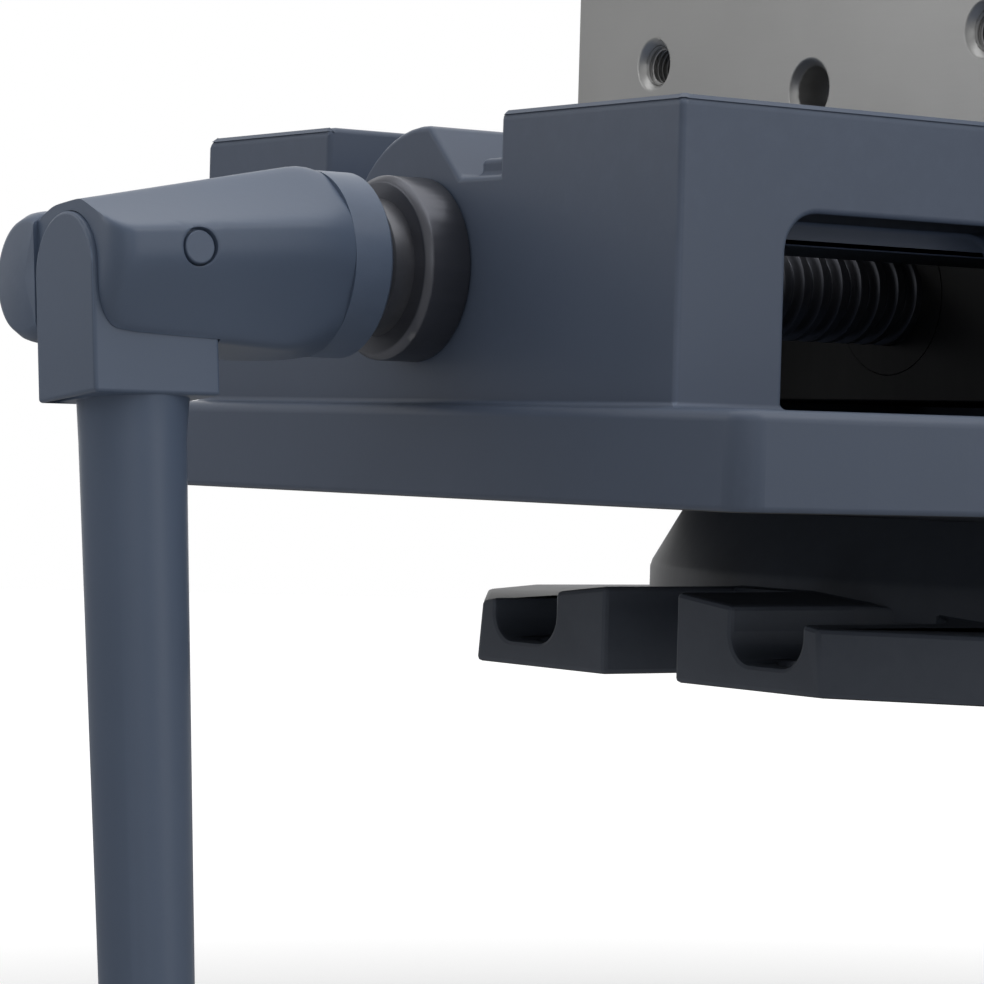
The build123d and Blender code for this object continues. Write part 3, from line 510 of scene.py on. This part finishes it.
def softened(node, edge, angle=25.0, segments=3, reshape=None):
    """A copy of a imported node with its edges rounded: its doubled points are joined, its
    flat faces are made whole, and a bevel rounds what meets more steeply than the angle.
    A reshape moves the points first."""
    source = frame["nodes"][node]
    mesh = bpy.data.meshes.new(node + "_finished")
    bm = bmesh.new()
    bm.from_mesh(source.data)
    bmesh.ops.remove_doubles(bm, verts=bm.verts, dist=WELD)
    bmesh.ops.dissolve_limit(
        bm, angle_limit=FLAT_ANGLE, use_dissolve_boundaries=False, verts=bm.verts, edges=bm.edges
    )
    if reshape:
        for vert, place in zip(bm.verts, reshape(np.array([vert.co for vert in bm.verts]))):
            vert.co = place
    for face in bm.faces:
        face.smooth = is_curved(face) and not is_broad(face)
    bm.to_mesh(mesh)
    bm.free()
    piece = add_piece(mesh, source["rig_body"], slot_of(node), [node])
    bevel = piece.modifiers.new("Edge", "BEVEL")
    bevel.width = edge
    bevel.segments = segments
    bevel.limit_method = "ANGLE"
    bevel.angle_limit = math.radians(angle)
    bevel.use_clamp_overlap = False
    bevel.harden_normals = reshape is None
    return piece


# Finishes

# Painted shade: the near black given to enamel that faces straight down.
PAINTED_UNDER_SHADE = (0.004, 0.005, 0.006)
# Lighter steel on convex edges: partly rubbed steel, partly a painted highlight.
RUBBED_AND_LIT_STEEL = (0.3, 0.3, 0.31)


def new_group(name, inputs, outputs):
    """A shader node group with its named sockets, or the one that was built before."""
    found = bpy.data.node_groups.get(name)
    if found:
        return found, None, None
    group = bpy.data.node_groups.new(name, "ShaderNodeTree")
    for label, default in inputs:
        socket = group.interface.new_socket(name=label, in_out="INPUT", socket_type="NodeSocketFloat")
        socket.default_value = default
    for label in outputs:
        group.interface.new_socket(name=label, in_out="OUTPUT", socket_type="NodeSocketFloat")
    return group, group.nodes.new("NodeGroupInput"), group.nodes.new("NodeGroupOutput")


def node_of(tree, kind, **values):
    """Adds a node and sets its attributes, and its inputs where a name is a socket's."""
    node = tree.nodes.new("ShaderNode" + kind)
    for key, value in values.items():
        if hasattr(node, key):
            setattr(node, key, value)
        else:
            node.inputs[key.replace("_", " ").title()].default_value = value
    return node


def ramp_between(group, value, inside):
    """A mask that rises from 0 to 1 from the group's Start over its Reach."""
    top = node_of(group, "Math", operation="ADD")
    group.links.new(inside.outputs["Start"], top.inputs[0])
    group.links.new(inside.outputs["Reach"], top.inputs[1])
    ramp = node_of(group, "MapRange", clamp=True)
    group.links.new(value, ramp.inputs["Value"])
    group.links.new(inside.outputs["Start"], ramp.inputs["From Min"])
    group.links.new(top.outputs[0], ramp.inputs["From Max"])
    return ramp.outputs["Result"]


def cast_skin():
    """Surface of a painted casting: a fine grain, a slow swell and a mottle of the paint."""
    inputs = [("Grain Size", 900.0), ("Swell", 0.5)]
    group, inside, outside = new_group("Cast skin", inputs, ["Height", "Mottle"])
    if inside is None:
        return group
    links = group.links
    place = node_of(group, "TexCoord")
    grain = node_of(group, "TexNoise", detail=3.0, roughness=0.55)
    swell = node_of(group, "TexNoise", detail=2.0, roughness=0.5)
    mottle = node_of(group, "TexNoise", detail=4.0, roughness=0.6)
    swell.inputs["Scale"].default_value = 45.0
    mottle.inputs["Scale"].default_value = 28.0
    for texture in (grain, swell, mottle):
        links.new(place.outputs["Object"], texture.inputs["Vector"])
    links.new(inside.outputs["Grain Size"], grain.inputs["Scale"])
    mixed = node_of(group, "Math", operation="MULTIPLY_ADD")
    links.new(swell.outputs["Fac"], mixed.inputs[0])
    links.new(inside.outputs["Swell"], mixed.inputs[1])
    links.new(grain.outputs["Fac"], mixed.inputs[2])
    links.new(mixed.outputs[0], outside.inputs["Height"])
    links.new(mottle.outputs["Fac"], outside.inputs["Mottle"])
    return group


def edge_wear_and_highlight():
    """Convex edges of the mesh, broken up by a noise: partly where edges are rubbed, partly a painted
    highlight.
    """
    group, inside, outside = new_group("Edge wear", [("Start", 0.52), ("Reach", 0.08)], ["Worn"])
    if inside is None:
        return group
    links = group.links
    place = node_of(group, "TexCoord")
    shape = node_of(group, "NewGeometry")
    noise = node_of(group, "TexNoise", detail=5.0, roughness=0.65)
    noise.inputs["Scale"].default_value = 220.0
    links.new(place.outputs["Object"], noise.inputs["Vector"])
    shaken = node_of(group, "Math", operation="MULTIPLY_ADD")
    shaken.inputs[1].default_value = 0.06
    links.new(noise.outputs["Fac"], shaken.inputs[0])
    links.new(shape.outputs["Pointiness"], shaken.inputs[2])
    links.new(ramp_between(group, shaken.outputs[0], inside), outside.inputs["Worn"])
    return group


def tool_lines():
    """Fine lines left by a grinding wheel or a lathe tool, long in one direction."""
    along = [("Along X", 1.0), ("Along Y", 1.0), ("Along Z", 1.0)]
    group, inside, outside = new_group("Tool lines", along, ["Lines", "Stain"])
    if inside is None:
        return group
    links = group.links
    place = node_of(group, "TexCoord")
    scale = node_of(group, "CombineXYZ")
    for axis in "XYZ":
        links.new(inside.outputs["Along " + axis], scale.inputs[axis])
    stretched = node_of(group, "VectorMath", operation="MULTIPLY")
    links.new(place.outputs["Object"], stretched.inputs[0])
    links.new(scale.outputs[0], stretched.inputs[1])
    lines = node_of(group, "TexNoise", detail=4.0, roughness=0.7)
    lines.inputs["Scale"].default_value = 1.0
    links.new(stretched.outputs[0], lines.inputs["Vector"])
    stain = node_of(group, "TexNoise", detail=3.0, roughness=0.55)
    stain.inputs["Scale"].default_value = 24.0
    links.new(place.outputs["Object"], stain.inputs["Vector"])
    links.new(lines.outputs["Fac"], outside.inputs["Lines"])
    links.new(stain.outputs["Fac"], outside.inputs["Stain"])
    return group


def painted_under_shade():
    """Marks what faces straight down, where painted shade darkens the enamel to near black."""
    group, inside, outside = new_group("Underside", [("Start", 0.8), ("Reach", 0.15)], ["Under"])
    if inside is None:
        return group
    links = group.links
    place = node_of(group, "TexCoord")
    parts = node_of(group, "SeparateXYZ")
    links.new(place.outputs["Normal"], parts.inputs[0])
    down = node_of(group, "Math", operation="MULTIPLY")
    down.inputs[1].default_value = -1.0
    links.new(parts.outputs["Z"], down.inputs[0])
    links.new(ramp_between(group, down.outputs[0], inside), outside.inputs["Under"])
    return group


def place_group(tree, group, **values):
    """Places a node group in a material with its own values."""
    node = tree.nodes.new("ShaderNodeGroup")
    node.node_tree = group
    for key, value in values.items():
        node.inputs[key.replace("_", " ")].default_value = value
    return node


def blank_finish(name):
    """A new material, its node tree and its shader."""
    material = bpy.data.materials.new(name)
    material.use_nodes = True
    tree = material.node_tree
    return material, tree, tree.nodes["Principled BSDF"]


def ranged(tree, mask, low, high):
    """A value between two ends by a mask."""
    share = node_of(tree, "MapRange")
    share.inputs["To Min"].default_value = low
    share.inputs["To Max"].default_value = high
    tree.links.new(mask, share.inputs["Value"])
    return share.outputs["Result"]


def shaded(tree, colour, mask, low, high):
    """A colour that is varied between two shares of itself by a mask."""
    mixed = node_of(tree, "VectorMath", operation="SCALE")
    mixed.inputs[0].default_value = colour
    tree.links.new(ranged(tree, mask, low, high), mixed.inputs["Scale"])
    return mixed.outputs[0]


def blended(tree, first, second, mask):
    """A socket's colour with a plain colour over it by a mask."""
    mix = node_of(tree, "Mix", data_type="RGBA")
    under, over = [socket for socket in mix.inputs if socket.type == "RGBA"]
    tree.links.new(first, under)
    over.default_value = (*second, 1.0)
    tree.links.new(mask, mix.inputs["Factor"])
    return next(socket for socket in mix.outputs if socket.type == "RGBA")


def bumped(tree, shader, height, strength, distance):
    """Gives the shader's normal a bump of a height."""
    bump = node_of(tree, "Bump")
    bump.inputs["Strength"].default_value = strength
    bump.inputs["Distance"].default_value = distance
    tree.links.new(height, bump.inputs["Height"])
    tree.links.new(bump.outputs["Normal"], shader.inputs["Normal"])


def enamel(name, colour, grain_size, swell, depth, gloss, shaded_below=True):
    """Enamel over a casting, thinner and lighter on convex edges: partly rubbed paint, partly a
    painted highlight. Unless turned off, painted shade darkens what faces straight down."""
    material, tree, shader = blank_finish(name)
    skin = place_group(tree, cast_skin(), Grain_Size=grain_size, Swell=swell)
    wear = place_group(tree, edge_wear_and_highlight(), Start=0.56, Reach=0.12)
    base = shaded(tree, colour, skin.outputs["Mottle"], 0.93, 1.07)
    # Painted highlight and rubbing: convex edges are lightened towards a lighter enamel.
    rubbed = tuple(min(1.0, 1.7 * part + 0.03) for part in colour)
    painted = blended(tree, base, rubbed, ranged(tree, wear.outputs["Worn"], 0.0, 0.5))
    # Painted shade: what faces down is darkened towards near black.
    if shaded_below:
        under = place_group(tree, painted_under_shade(), Start=0.8, Reach=0.15)
        painted = blended(tree, painted, PAINTED_UNDER_SHADE, under.outputs["Under"])
    tree.links.new(painted, shader.inputs["Base Color"])
    roughness = ranged(tree, skin.outputs["Mottle"], gloss - 0.04, gloss + 0.05)
    tree.links.new(roughness, shader.inputs["Roughness"])
    shader.inputs["Specular IOR Level"].default_value = 0.45
    bumped(tree, shader, skin.outputs["Height"], 0.35, depth)
    return material


def worked_metal(name, colour, gloss, lines, depth, metallic=1.0):
    """Steel, iron or bronze with the lines that its working left and faint stains."""
    material, tree, shader = blank_finish(name)
    marks = place_group(tree, tool_lines(), Along_X=lines[0], Along_Y=lines[1], Along_Z=lines[2])
    tree.links.new(shaded(tree, colour, marks.outputs["Stain"], 0.88, 1.12), shader.inputs["Base Color"])
    roughness = ranged(tree, marks.outputs["Lines"], gloss - 0.06, gloss + 0.08)
    tree.links.new(roughness, shader.inputs["Roughness"])
    shader.inputs["Metallic"].default_value = metallic
    bumped(tree, shader, marks.outputs["Lines"], 0.25, depth)
    return material


def blackened(name, colour):
    """Oil-blackened steel, brighter on its convex edges: partly rubbed, partly a painted highlight."""
    material, tree, shader = blank_finish(name)
    marks = place_group(tree, tool_lines(), Along_X=900.0, Along_Y=60.0, Along_Z=60.0)
    wear = place_group(tree, edge_wear_and_highlight(), Start=0.57, Reach=0.08)
    base = shaded(tree, colour, marks.outputs["Stain"], 0.8, 1.25)
    # Convex edges brightened: partly rubbed steel, partly a painted highlight.
    worn_and_lit = ranged(tree, wear.outputs["Worn"], 0.0, 0.7)
    tree.links.new(blended(tree, base, RUBBED_AND_LIT_STEEL, worn_and_lit), shader.inputs["Base Color"])
    tree.links.new(ranged(tree, marks.outputs["Stain"], 0.3, 0.42), shader.inputs["Roughness"])
    shader.inputs["Metallic"].default_value = 0.8
    bumped(tree, shader, marks.outputs["Lines"], 0.2, 0.03 * MM)
    return material


def moulded(name, colour):
    """Moulded plastic with a fine matt grain."""
    material, tree, shader = blank_finish(name)
    skin = place_group(tree, cast_skin(), Grain_Size=1600.0, Swell=0.3)
    tree.links.new(shaded(tree, colour, skin.outputs["Mottle"], 0.9, 1.1), shader.inputs["Base Color"])
    tree.links.new(ranged(tree, skin.outputs["Mottle"], 0.4, 0.5), shader.inputs["Roughness"])
    bumped(tree, shader, skin.outputs["Height"], 0.3, 0.05 * MM)
    return material


# How densely tool lines repeat along X, Y and Z. They are long where the number is small.
TURNED_LINES = (1600.0, 80.0, 80.0)
MILLED_LINES = (90.0, 1500.0, 90.0)
GROUND_LINES = (60.0, 60.0, 2600.0)
PLATE_LINES = (2600.0, 60.0, 2600.0)

# For each slot: the function that makes it, its colour setting and its own values.
FINISHES = {
    "body_paint": (enamel, "body", dict(grain_size=700.0, swell=0.8, depth=0.05 * MM, gloss=0.42)),
    # The base's darker colour is painted shade for the shadow under the flange.
    "base_paint": (enamel, "base", dict(grain_size=420.0, swell=1.2, depth=0.14 * MM, gloss=0.5)),
    # The crank's lighter colour is painted light, for the brighter light on the crank.
    "crank_paint": (
        enamel,
        "crank",
        # The crank's enamel gets no painted shade below.
        dict(grain_size=700.0, swell=0.9, depth=0.05 * MM, gloss=0.4, shaded_below=False),
    ),
    "ground_steel": (
        worked_metal,
        "jaw",
        dict(gloss=0.42, lines=GROUND_LINES, depth=0.02 * MM, metallic=0.9),
    ),
    "plate_steel": (worked_metal, "plate", dict(gloss=0.34, lines=PLATE_LINES, depth=0.02 * MM)),
    "bright_steel": (worked_metal, "bright", dict(gloss=0.28, lines=TURNED_LINES, depth=0.02 * MM)),
    "black_steel": (blackened, "black", {}),
    # The iron's near black is painted shade for the shade inside the bed.
    "raw_iron": (
        worked_metal,
        "iron",
        dict(gloss=0.48, lines=MILLED_LINES, depth=0.03 * MM, metallic=0.85),
    ),
    "bronze": (worked_metal, "bronze", dict(gloss=0.32, lines=TURNED_LINES, depth=0.02 * MM)),
    "grip_plastic": (moulded, "plastic", {}),
}


def finish_of(slot):
    """The material of a slot, made the first time that it is asked for."""
    name = "Finish " + slot
    found = bpy.data.materials.get(name)
    if found:
        return found
    make, setting, values = FINISHES[slot]
    colour = tuple(getattr(bpy.context.scene.vise_colours, setting))
    return make(name, colour, **values)


# Operators

BASE_EDGE_SHARE = 0.8
ARM_EDGE, PIN_EDGE = 0.15 * MM, 0.3 * MM

HEX_FLATS, HEX_LENGTH, HEX_CHAMFER = 17.0 * MM, 33.2 * MM, 1.5 * MM
HEX_CORNER = HEX_FLATS / 2 * 1.13
SHOULDER_START, SHOULDER_END, SHOULDER_RADIUS = -227.5 * MM, -222.9 * MM, 13.0 * MM
THREAD_START, THREAD_END, SCREW_RADIUS = -174.0 * MM, 133.7 * MM, 10.0 * MM
TAIL_END, TAIL_RADIUS, TAIL_CHAMFER = 156.7 * MM, 8.0 * MM, 0.8 * MM
SCREW_CHAMFER = 0.6 * MM

STOP_HOLE_Y, STOP_HOLE_Z = 52.4 * MM, 128.5 * MM
STOP_HOLE_RADIUS, STOP_THREAD_DEPTH, STOP_PITCH = 4.24 * MM, 0.7 * MM, 1.25 * MM
STOP_COUNTERSINK, STOP_THREAD_LENGTH = 1.4 * MM, 16.0 * MM

SMALL_STEEL = (
    "stop_collar",
    "thrust_collar",
    "clamp_tbolts",
    "clamp_washers",
    "clamp_nuts",
    "fixed_jaw_bolts",
    "grip_bolt",
    "grip_washers",
    "pivot_pin",
    "end_bushing",
    "tail_bushing",
    "fixed_plate_screws",
    "movable_plate_screws",
)


class VisePiece(bpy.types.Operator):
    """Common part of the operators that make a piece."""

    bl_options = {"REGISTER", "UNDO"}


class VISE_OT_plain_nodes(VisePiece):
    """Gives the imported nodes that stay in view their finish"""

    bl_idname = "vise.plain_nodes"
    bl_label = "Plain nodes"

    def execute(self, context):
        for name, node in frame["nodes"].items():
            node.data.materials.clear()
            node.data.materials.append(finish_of(slot_of(name)))
        return {"FINISHED"}


class VISE_OT_castings(VisePiece):
    """Rounds the edges of the bed, the swivel base and the nut's carrier, and adds the neck's flare"""

    bl_idname = "vise.castings"
    bl_label = "Castings"

    def execute(self, context):
        sizes = context.scene.vise_sizes
        softened("vise_bed", sizes.cast_edge)
        softened("swivel_base", BASE_EDGE_SHARE * sizes.cast_edge, segments=2, reshape=base_form)
        flare = mesh_of("neck_flare", [neck_flare()])
        add_piece(flare, frame["nodes"]["swivel_base"]["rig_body"], "base_paint")
        softened("nut_carrier", sizes.ground_edge)
        return {"FINISHED"}


class VISE_OT_jaws(VisePiece):
    """Breaks the edges of both jaws and their plates, and cuts the threads of the stop holes"""

    bl_idname = "vise.jaws"
    bl_label = "Jaws"

    def execute(self, context):
        sizes = context.scene.vise_sizes
        for node in ("movable_jaw", "fixed_jaw", "movable_jaw_plate", "fixed_jaw_plate"):
            softened(node, sizes.ground_edge)
        start = JAW_REAR + STOP_COUNTERSINK
        size = (STOP_HOLE_RADIUS, STOP_THREAD_DEPTH, STOP_PITCH)
        shells = [
            thread(start, start + STOP_THREAD_LENGTH, *size, 1, (0, y, STOP_HOLE_Z), turns=32, inner=True)
            for y in (-STOP_HOLE_Y, STOP_HOLE_Y)
        ]
        add_piece(mesh_of("stop_hole_threads", shells, closed=False), "jaw", "ground_steel")
        return {"FINISHED"}


class VISE_OT_lead_screw(VisePiece):
    """Turns the lead screw: hexagon, shoulder, threaded body and tail journal"""

    bl_idname = "vise.lead_screw"
    bl_label = "Lead screw"

    def execute(self, context):
        sizes = context.scene.vise_sizes
        turn = math.pi / 6 - CRANK_TURN
        hexagon = six_sided(HEX_FLATS, SCREW_START, SCREW_START + HEX_LENGTH, HEX_CORNER, HEX_CHAMFER, turn)
        shoulder = lathe(
            [
                (SHOULDER_START, 0),
                (SHOULDER_START, SHOULDER_RADIUS - SCREW_CHAMFER),
                (SHOULDER_START + SCREW_CHAMFER, SHOULDER_RADIUS),
                (SHOULDER_END, SHOULDER_RADIUS),
                (SHOULDER_END, SCREW_RADIUS),
                (THREAD_START, SCREW_RADIUS),
                (THREAD_START, 0),
            ]
        )
        tail = lathe(
            [
                (THREAD_END, 0),
                (THREAD_END, SCREW_RADIUS - SCREW_CHAMFER),
                (THREAD_END + SCREW_CHAMFER, TAIL_RADIUS),
                (TAIL_END - TAIL_CHAMFER, TAIL_RADIUS),
                (TAIL_END, TAIL_RADIUS - TAIL_CHAMFER),
                (TAIL_END, 0),
            ]
        )
        cut = thread(THREAD_START, THREAD_END, SCREW_RADIUS, sizes.thread_depth, sizes.thread_pitch, -1)
        ends = mesh_of("lead_screw_ends", [hexagon, shoulder, tail])
        add_piece(ends, "screw", "black_steel", ["lead_screw"])
        add_piece(mesh_of("lead_screw_thread", [cut], closed=False), "screw", "black_steel", ["lead_screw"])
        return {"FINISHED"}


class VISE_OT_crank_hub(VisePiece):
    """Makes the crank's tapered socket, slotted for the arm's block"""

    bl_idname = "vise.crank_hub"
    bl_label = "Crank hub"

    def execute(self, context):
        shells = [(turned_with_crank(points), faces) for points, faces in hub_skin() + [dome()]]
        add_piece(mesh_of("crank_hub_casting", shells, sharp=40.0), "crank", "crank_paint", ["crank_hub"])
        return {"FINISHED"}


class VISE_OT_crank(VisePiece):
    """Makes the crank's arm, with its block and eye, and the cross pin"""

    bl_idname = "vise.crank"
    bl_label = "Crank arm"

    def execute(self, context):
        softened("crank_arm", ARM_EDGE, angle=60.0, reshape=arm_form)
        softened("crank_pin", PIN_EDGE)
        return {"FINISHED"}


class VISE_OT_fittings(VisePiece):
    """Breaks the edges of the collar, the bolts, nuts, washers and other small steel parts"""

    bl_idname = "vise.fittings"
    bl_label = "Fittings"

    def execute(self, context):
        for node in SMALL_STEEL:
            softened(node, context.scene.vise_sizes.ground_edge)
        return {"FINISHED"}


# Stage

PALE_GREY = (0.4, 0.4, 0.4, 1)
FLOOR_RING, FLOOR_REACH = 1.0, 4.0
STAND_FOOT_RADIUS, STAND_STEM_RADIUS, STAND_TOP_RADIUS = 60 * MM, 34 * MM, 33 * MM
STAND_FOOT_HEIGHT, STAND_STEM_HEIGHT, STAND_TOP = 4 * MM, 12 * MM, -0.5 * MM
# How the floor's glow rises with the distance from the middle.
GLOW = {"From Min": 0.3, "From Max": 0.9, "To Min": 0.1, "To Max": 0.9}
# The way from the camera to the backdrop, and how far a ray has to point along it.
BEHIND = (0.57, 0.82, 0.0)
BEHIND_FROM = 0.6

# Name, place, the place it points at, side and power of each soft light.
SOFTBOXES = (
    ("Top light", (-0.1, 0.1, 1.3), (-0.1, 0.0, 0.05), 1.6, 8.5),
    ("High light", (0.15, -0.8, 0.95), (-0.1, -0.05, 0.08), 0.5, 2.4),
    ("Left light", (-0.5, 0.22, 0.22), (-0.27, 0.0, 0.06), 0.2, 0.14),
    ("Right light", (0.3, -1.1, 0.3), (-0.1, -0.05, 0.08), 0.6, 1.2),
    ("Front light", (-0.9, -1.0, 0.4), (-0.2, 0.0, 0.08), 0.6, 0.6),
)

CAMERA_PLACE = (-0.6111, -0.5928, 0.04655)
CAMERA_LENS = 137.26
# Yaw, pitch and roll of the camera.
CAMERA_TURNS = (math.radians(54.92), math.radians(-0.79), math.radians(1.59))


def softbox(name, place, aim, size, power):
    """A square soft light that points at a place."""
    data = bpy.data.lights.new(name, "AREA")
    data.shape = "RECTANGLE"
    data.size = data.size_y = size
    data.energy = power
    lamp = bpy.data.objects.new(name, data)
    bpy.context.scene.collection.objects.link(lamp)
    lamp.location = place
    lamp.rotation_mode = "QUATERNION"
    lamp.rotation_quaternion = (Vector(aim) - Vector(place)).to_track_quat("-Z", "Y")


class VISE_OT_stage(VisePiece):
    """Sets up the floor, the stand, the light and the camera of the reference view"""

    bl_idname = "vise.stage"
    bl_label = "Stage"

    def execute(self, context):
        settings = context.scene.vise_stage
        low = settings.floor_height
        floor_profile = [(low, 0), (low, FLOOR_RING), (low, FLOOR_REACH)]
        stand_profile = [
            (low, 0),
            (low, STAND_FOOT_RADIUS),
            (low + STAND_FOOT_HEIGHT, STAND_FOOT_RADIUS),
            (low + STAND_STEM_HEIGHT, STAND_STEM_RADIUS),
            (STAND_TOP, STAND_TOP_RADIUS),
            (STAND_TOP, 0),
        ]
        floor = mesh_of("floor", [lathe(floor_profile, (0, 0, 0), "z", turns=96)], closed=False)
        stand = mesh_of("stand", [lathe(stand_profile, (0, 0, 0), "z")], closed=False)
        for mesh in (floor, stand):
            self.make_pale(mesh)
            thing = bpy.data.objects.new(mesh.name, mesh)
            context.scene.collection.objects.link(thing)
        self.make_sky(context, settings)
        for row in SOFTBOXES:
            softbox(*row)
        self.make_camera(context)
        return {"FINISHED"}

    def make_pale(self, mesh):
        """Gives the floor or the stand its matt grey. To the camera it also glows with its
        distance from the middle, so that it meets a white sky."""
        material, tree, shader = blank_finish("Pale " + mesh.name)
        shader.inputs["Base Color"].default_value = PALE_GREY
        shader.inputs["Roughness"].default_value = 0.8
        shader.inputs["Specular IOR Level"].default_value = 0.1
        place = node_of(tree, "TexCoord")
        distance = node_of(tree, "VectorMath", operation="LENGTH")
        tree.links.new(place.outputs["Object"], distance.inputs[0])
        glow = node_of(tree, "MapRange", clamp=True)
        for label, value in GLOW.items():
            glow.inputs[label].default_value = value
        tree.links.new(distance.outputs["Value"], glow.inputs["Value"])
        seen = node_of(tree, "Math", operation="MULTIPLY")
        tree.links.new(glow.outputs["Result"], seen.inputs[0])
        tree.links.new(node_of(tree, "LightPath").outputs["Is Camera Ray"], seen.inputs[1])
        shader.inputs["Emission Color"].default_value = (1, 1, 1, 1)
        tree.links.new(seen.outputs[0], shader.inputs["Emission Strength"])
        mesh.materials.append(material)

    def make_sky(self, context, settings):
        """Even light from all sides, stronger from behind the object, and white to the
        camera."""
        world = bpy.data.worlds.new("Studio")
        context.scene.world = world
        world.use_nodes = True
        tree = world.node_tree
        background = tree.nodes["Background"]
        background.inputs["Color"].default_value = (1, 1, 1, 1)
        place = node_of(tree, "TexCoord")
        facing = node_of(tree, "VectorMath", operation="DOT_PRODUCT")
        facing.inputs[1].default_value = BEHIND
        tree.links.new(place.outputs["Generated"], facing.inputs[0])
        backdrop = node_of(tree, "MapRange", clamp=True)
        backdrop.inputs["From Min"].default_value = BEHIND_FROM
        backdrop.inputs["To Min"].default_value = settings.sky
        backdrop.inputs["To Max"].default_value = settings.backdrop
        tree.links.new(facing.outputs["Value"], backdrop.inputs["Value"])
        level = node_of(tree, "Mix")
        level.inputs["B"].default_value = 1.0
        tree.links.new(backdrop.outputs["Result"], level.inputs["A"])
        tree.links.new(node_of(tree, "LightPath").outputs["Is Camera Ray"], level.inputs["Factor"])
        tree.links.new(level.outputs["Result"], background.inputs["Strength"])

    def make_camera(self, context):
        """The camera stands a little above the bench, close to the crank's corner."""
        data = bpy.data.cameras.new("Camera")
        data.sensor_width = 36.0
        data.lens = CAMERA_LENS
        data.clip_start = 0.01
        data.clip_end = 100.0
        camera = bpy.data.objects.new("Camera", data)
        context.scene.collection.objects.link(camera)
        yaw, pitch, roll = CAMERA_TURNS
        ahead = Vector((math.cos(pitch) * math.cos(yaw), math.cos(pitch) * math.sin(yaw), math.sin(pitch)))
        right = Vector((math.sin(yaw), -math.cos(yaw), 0))
        up = right.cross(ahead)
        tilted_right = math.cos(roll) * right + math.sin(roll) * up
        tilted_up = -math.sin(roll) * right + math.cos(roll) * up
        turn = Matrix((tilted_right, tilted_up, -ahead)).transposed().to_4x4()
        camera.matrix_world = Matrix.Translation(CAMERA_PLACE) @ turn
        context.scene.camera = camera


# Panel and registration

OPERATORS = (
    VISE_OT_plain_nodes,
    VISE_OT_castings,
    VISE_OT_jaws,
    VISE_OT_lead_screw,
    VISE_OT_crank_hub,
    VISE_OT_crank,
    VISE_OT_fittings,
    VISE_OT_stage,
)


class VISE_PT_panel(bpy.types.Panel):
    """Settings of the vise and the operators that make its pieces"""

    bl_label = "Machine vise"
    bl_idname = "VISE_PT_panel"
    bl_space_type = "VIEW_3D"
    bl_region_type = "UI"
    bl_category = "Vise"

    def draw(self, context):
        scene = context.scene
        for group in (scene.vise_sizes, scene.vise_colours, scene.vise_stage):
            column = self.layout.column()
            for name in group.__annotations__:
                column.prop(group, name)
        for operator in OPERATORS:
            self.layout.operator(operator.bl_idname)


GROUPS = {"vise_sizes": ViseSizes, "vise_colours": ViseColours, "vise_stage": ViseStage}


def register():
    for name, group in GROUPS.items():
        bpy.utils.register_class(group)
        setattr(bpy.types.Scene, name, bpy.props.PointerProperty(type=group))
    for item in OPERATORS + (VISE_PT_panel,):
        bpy.utils.register_class(item)


def unregister():
    for item in reversed(OPERATORS + (VISE_PT_panel,)):
        bpy.utils.unregister_class(item)
    for name, group in GROUPS.items():
        delattr(bpy.types.Scene, name)
        bpy.utils.unregister_class(group)


def main():
    register()
    bpy.context.scene.view_settings.view_transform = "Standard"
    for operator in OPERATORS:
        category, name = operator.bl_idname.split(".")
        getattr(getattr(bpy.ops, category), name)()


if __name__ == "__main__":
    main()
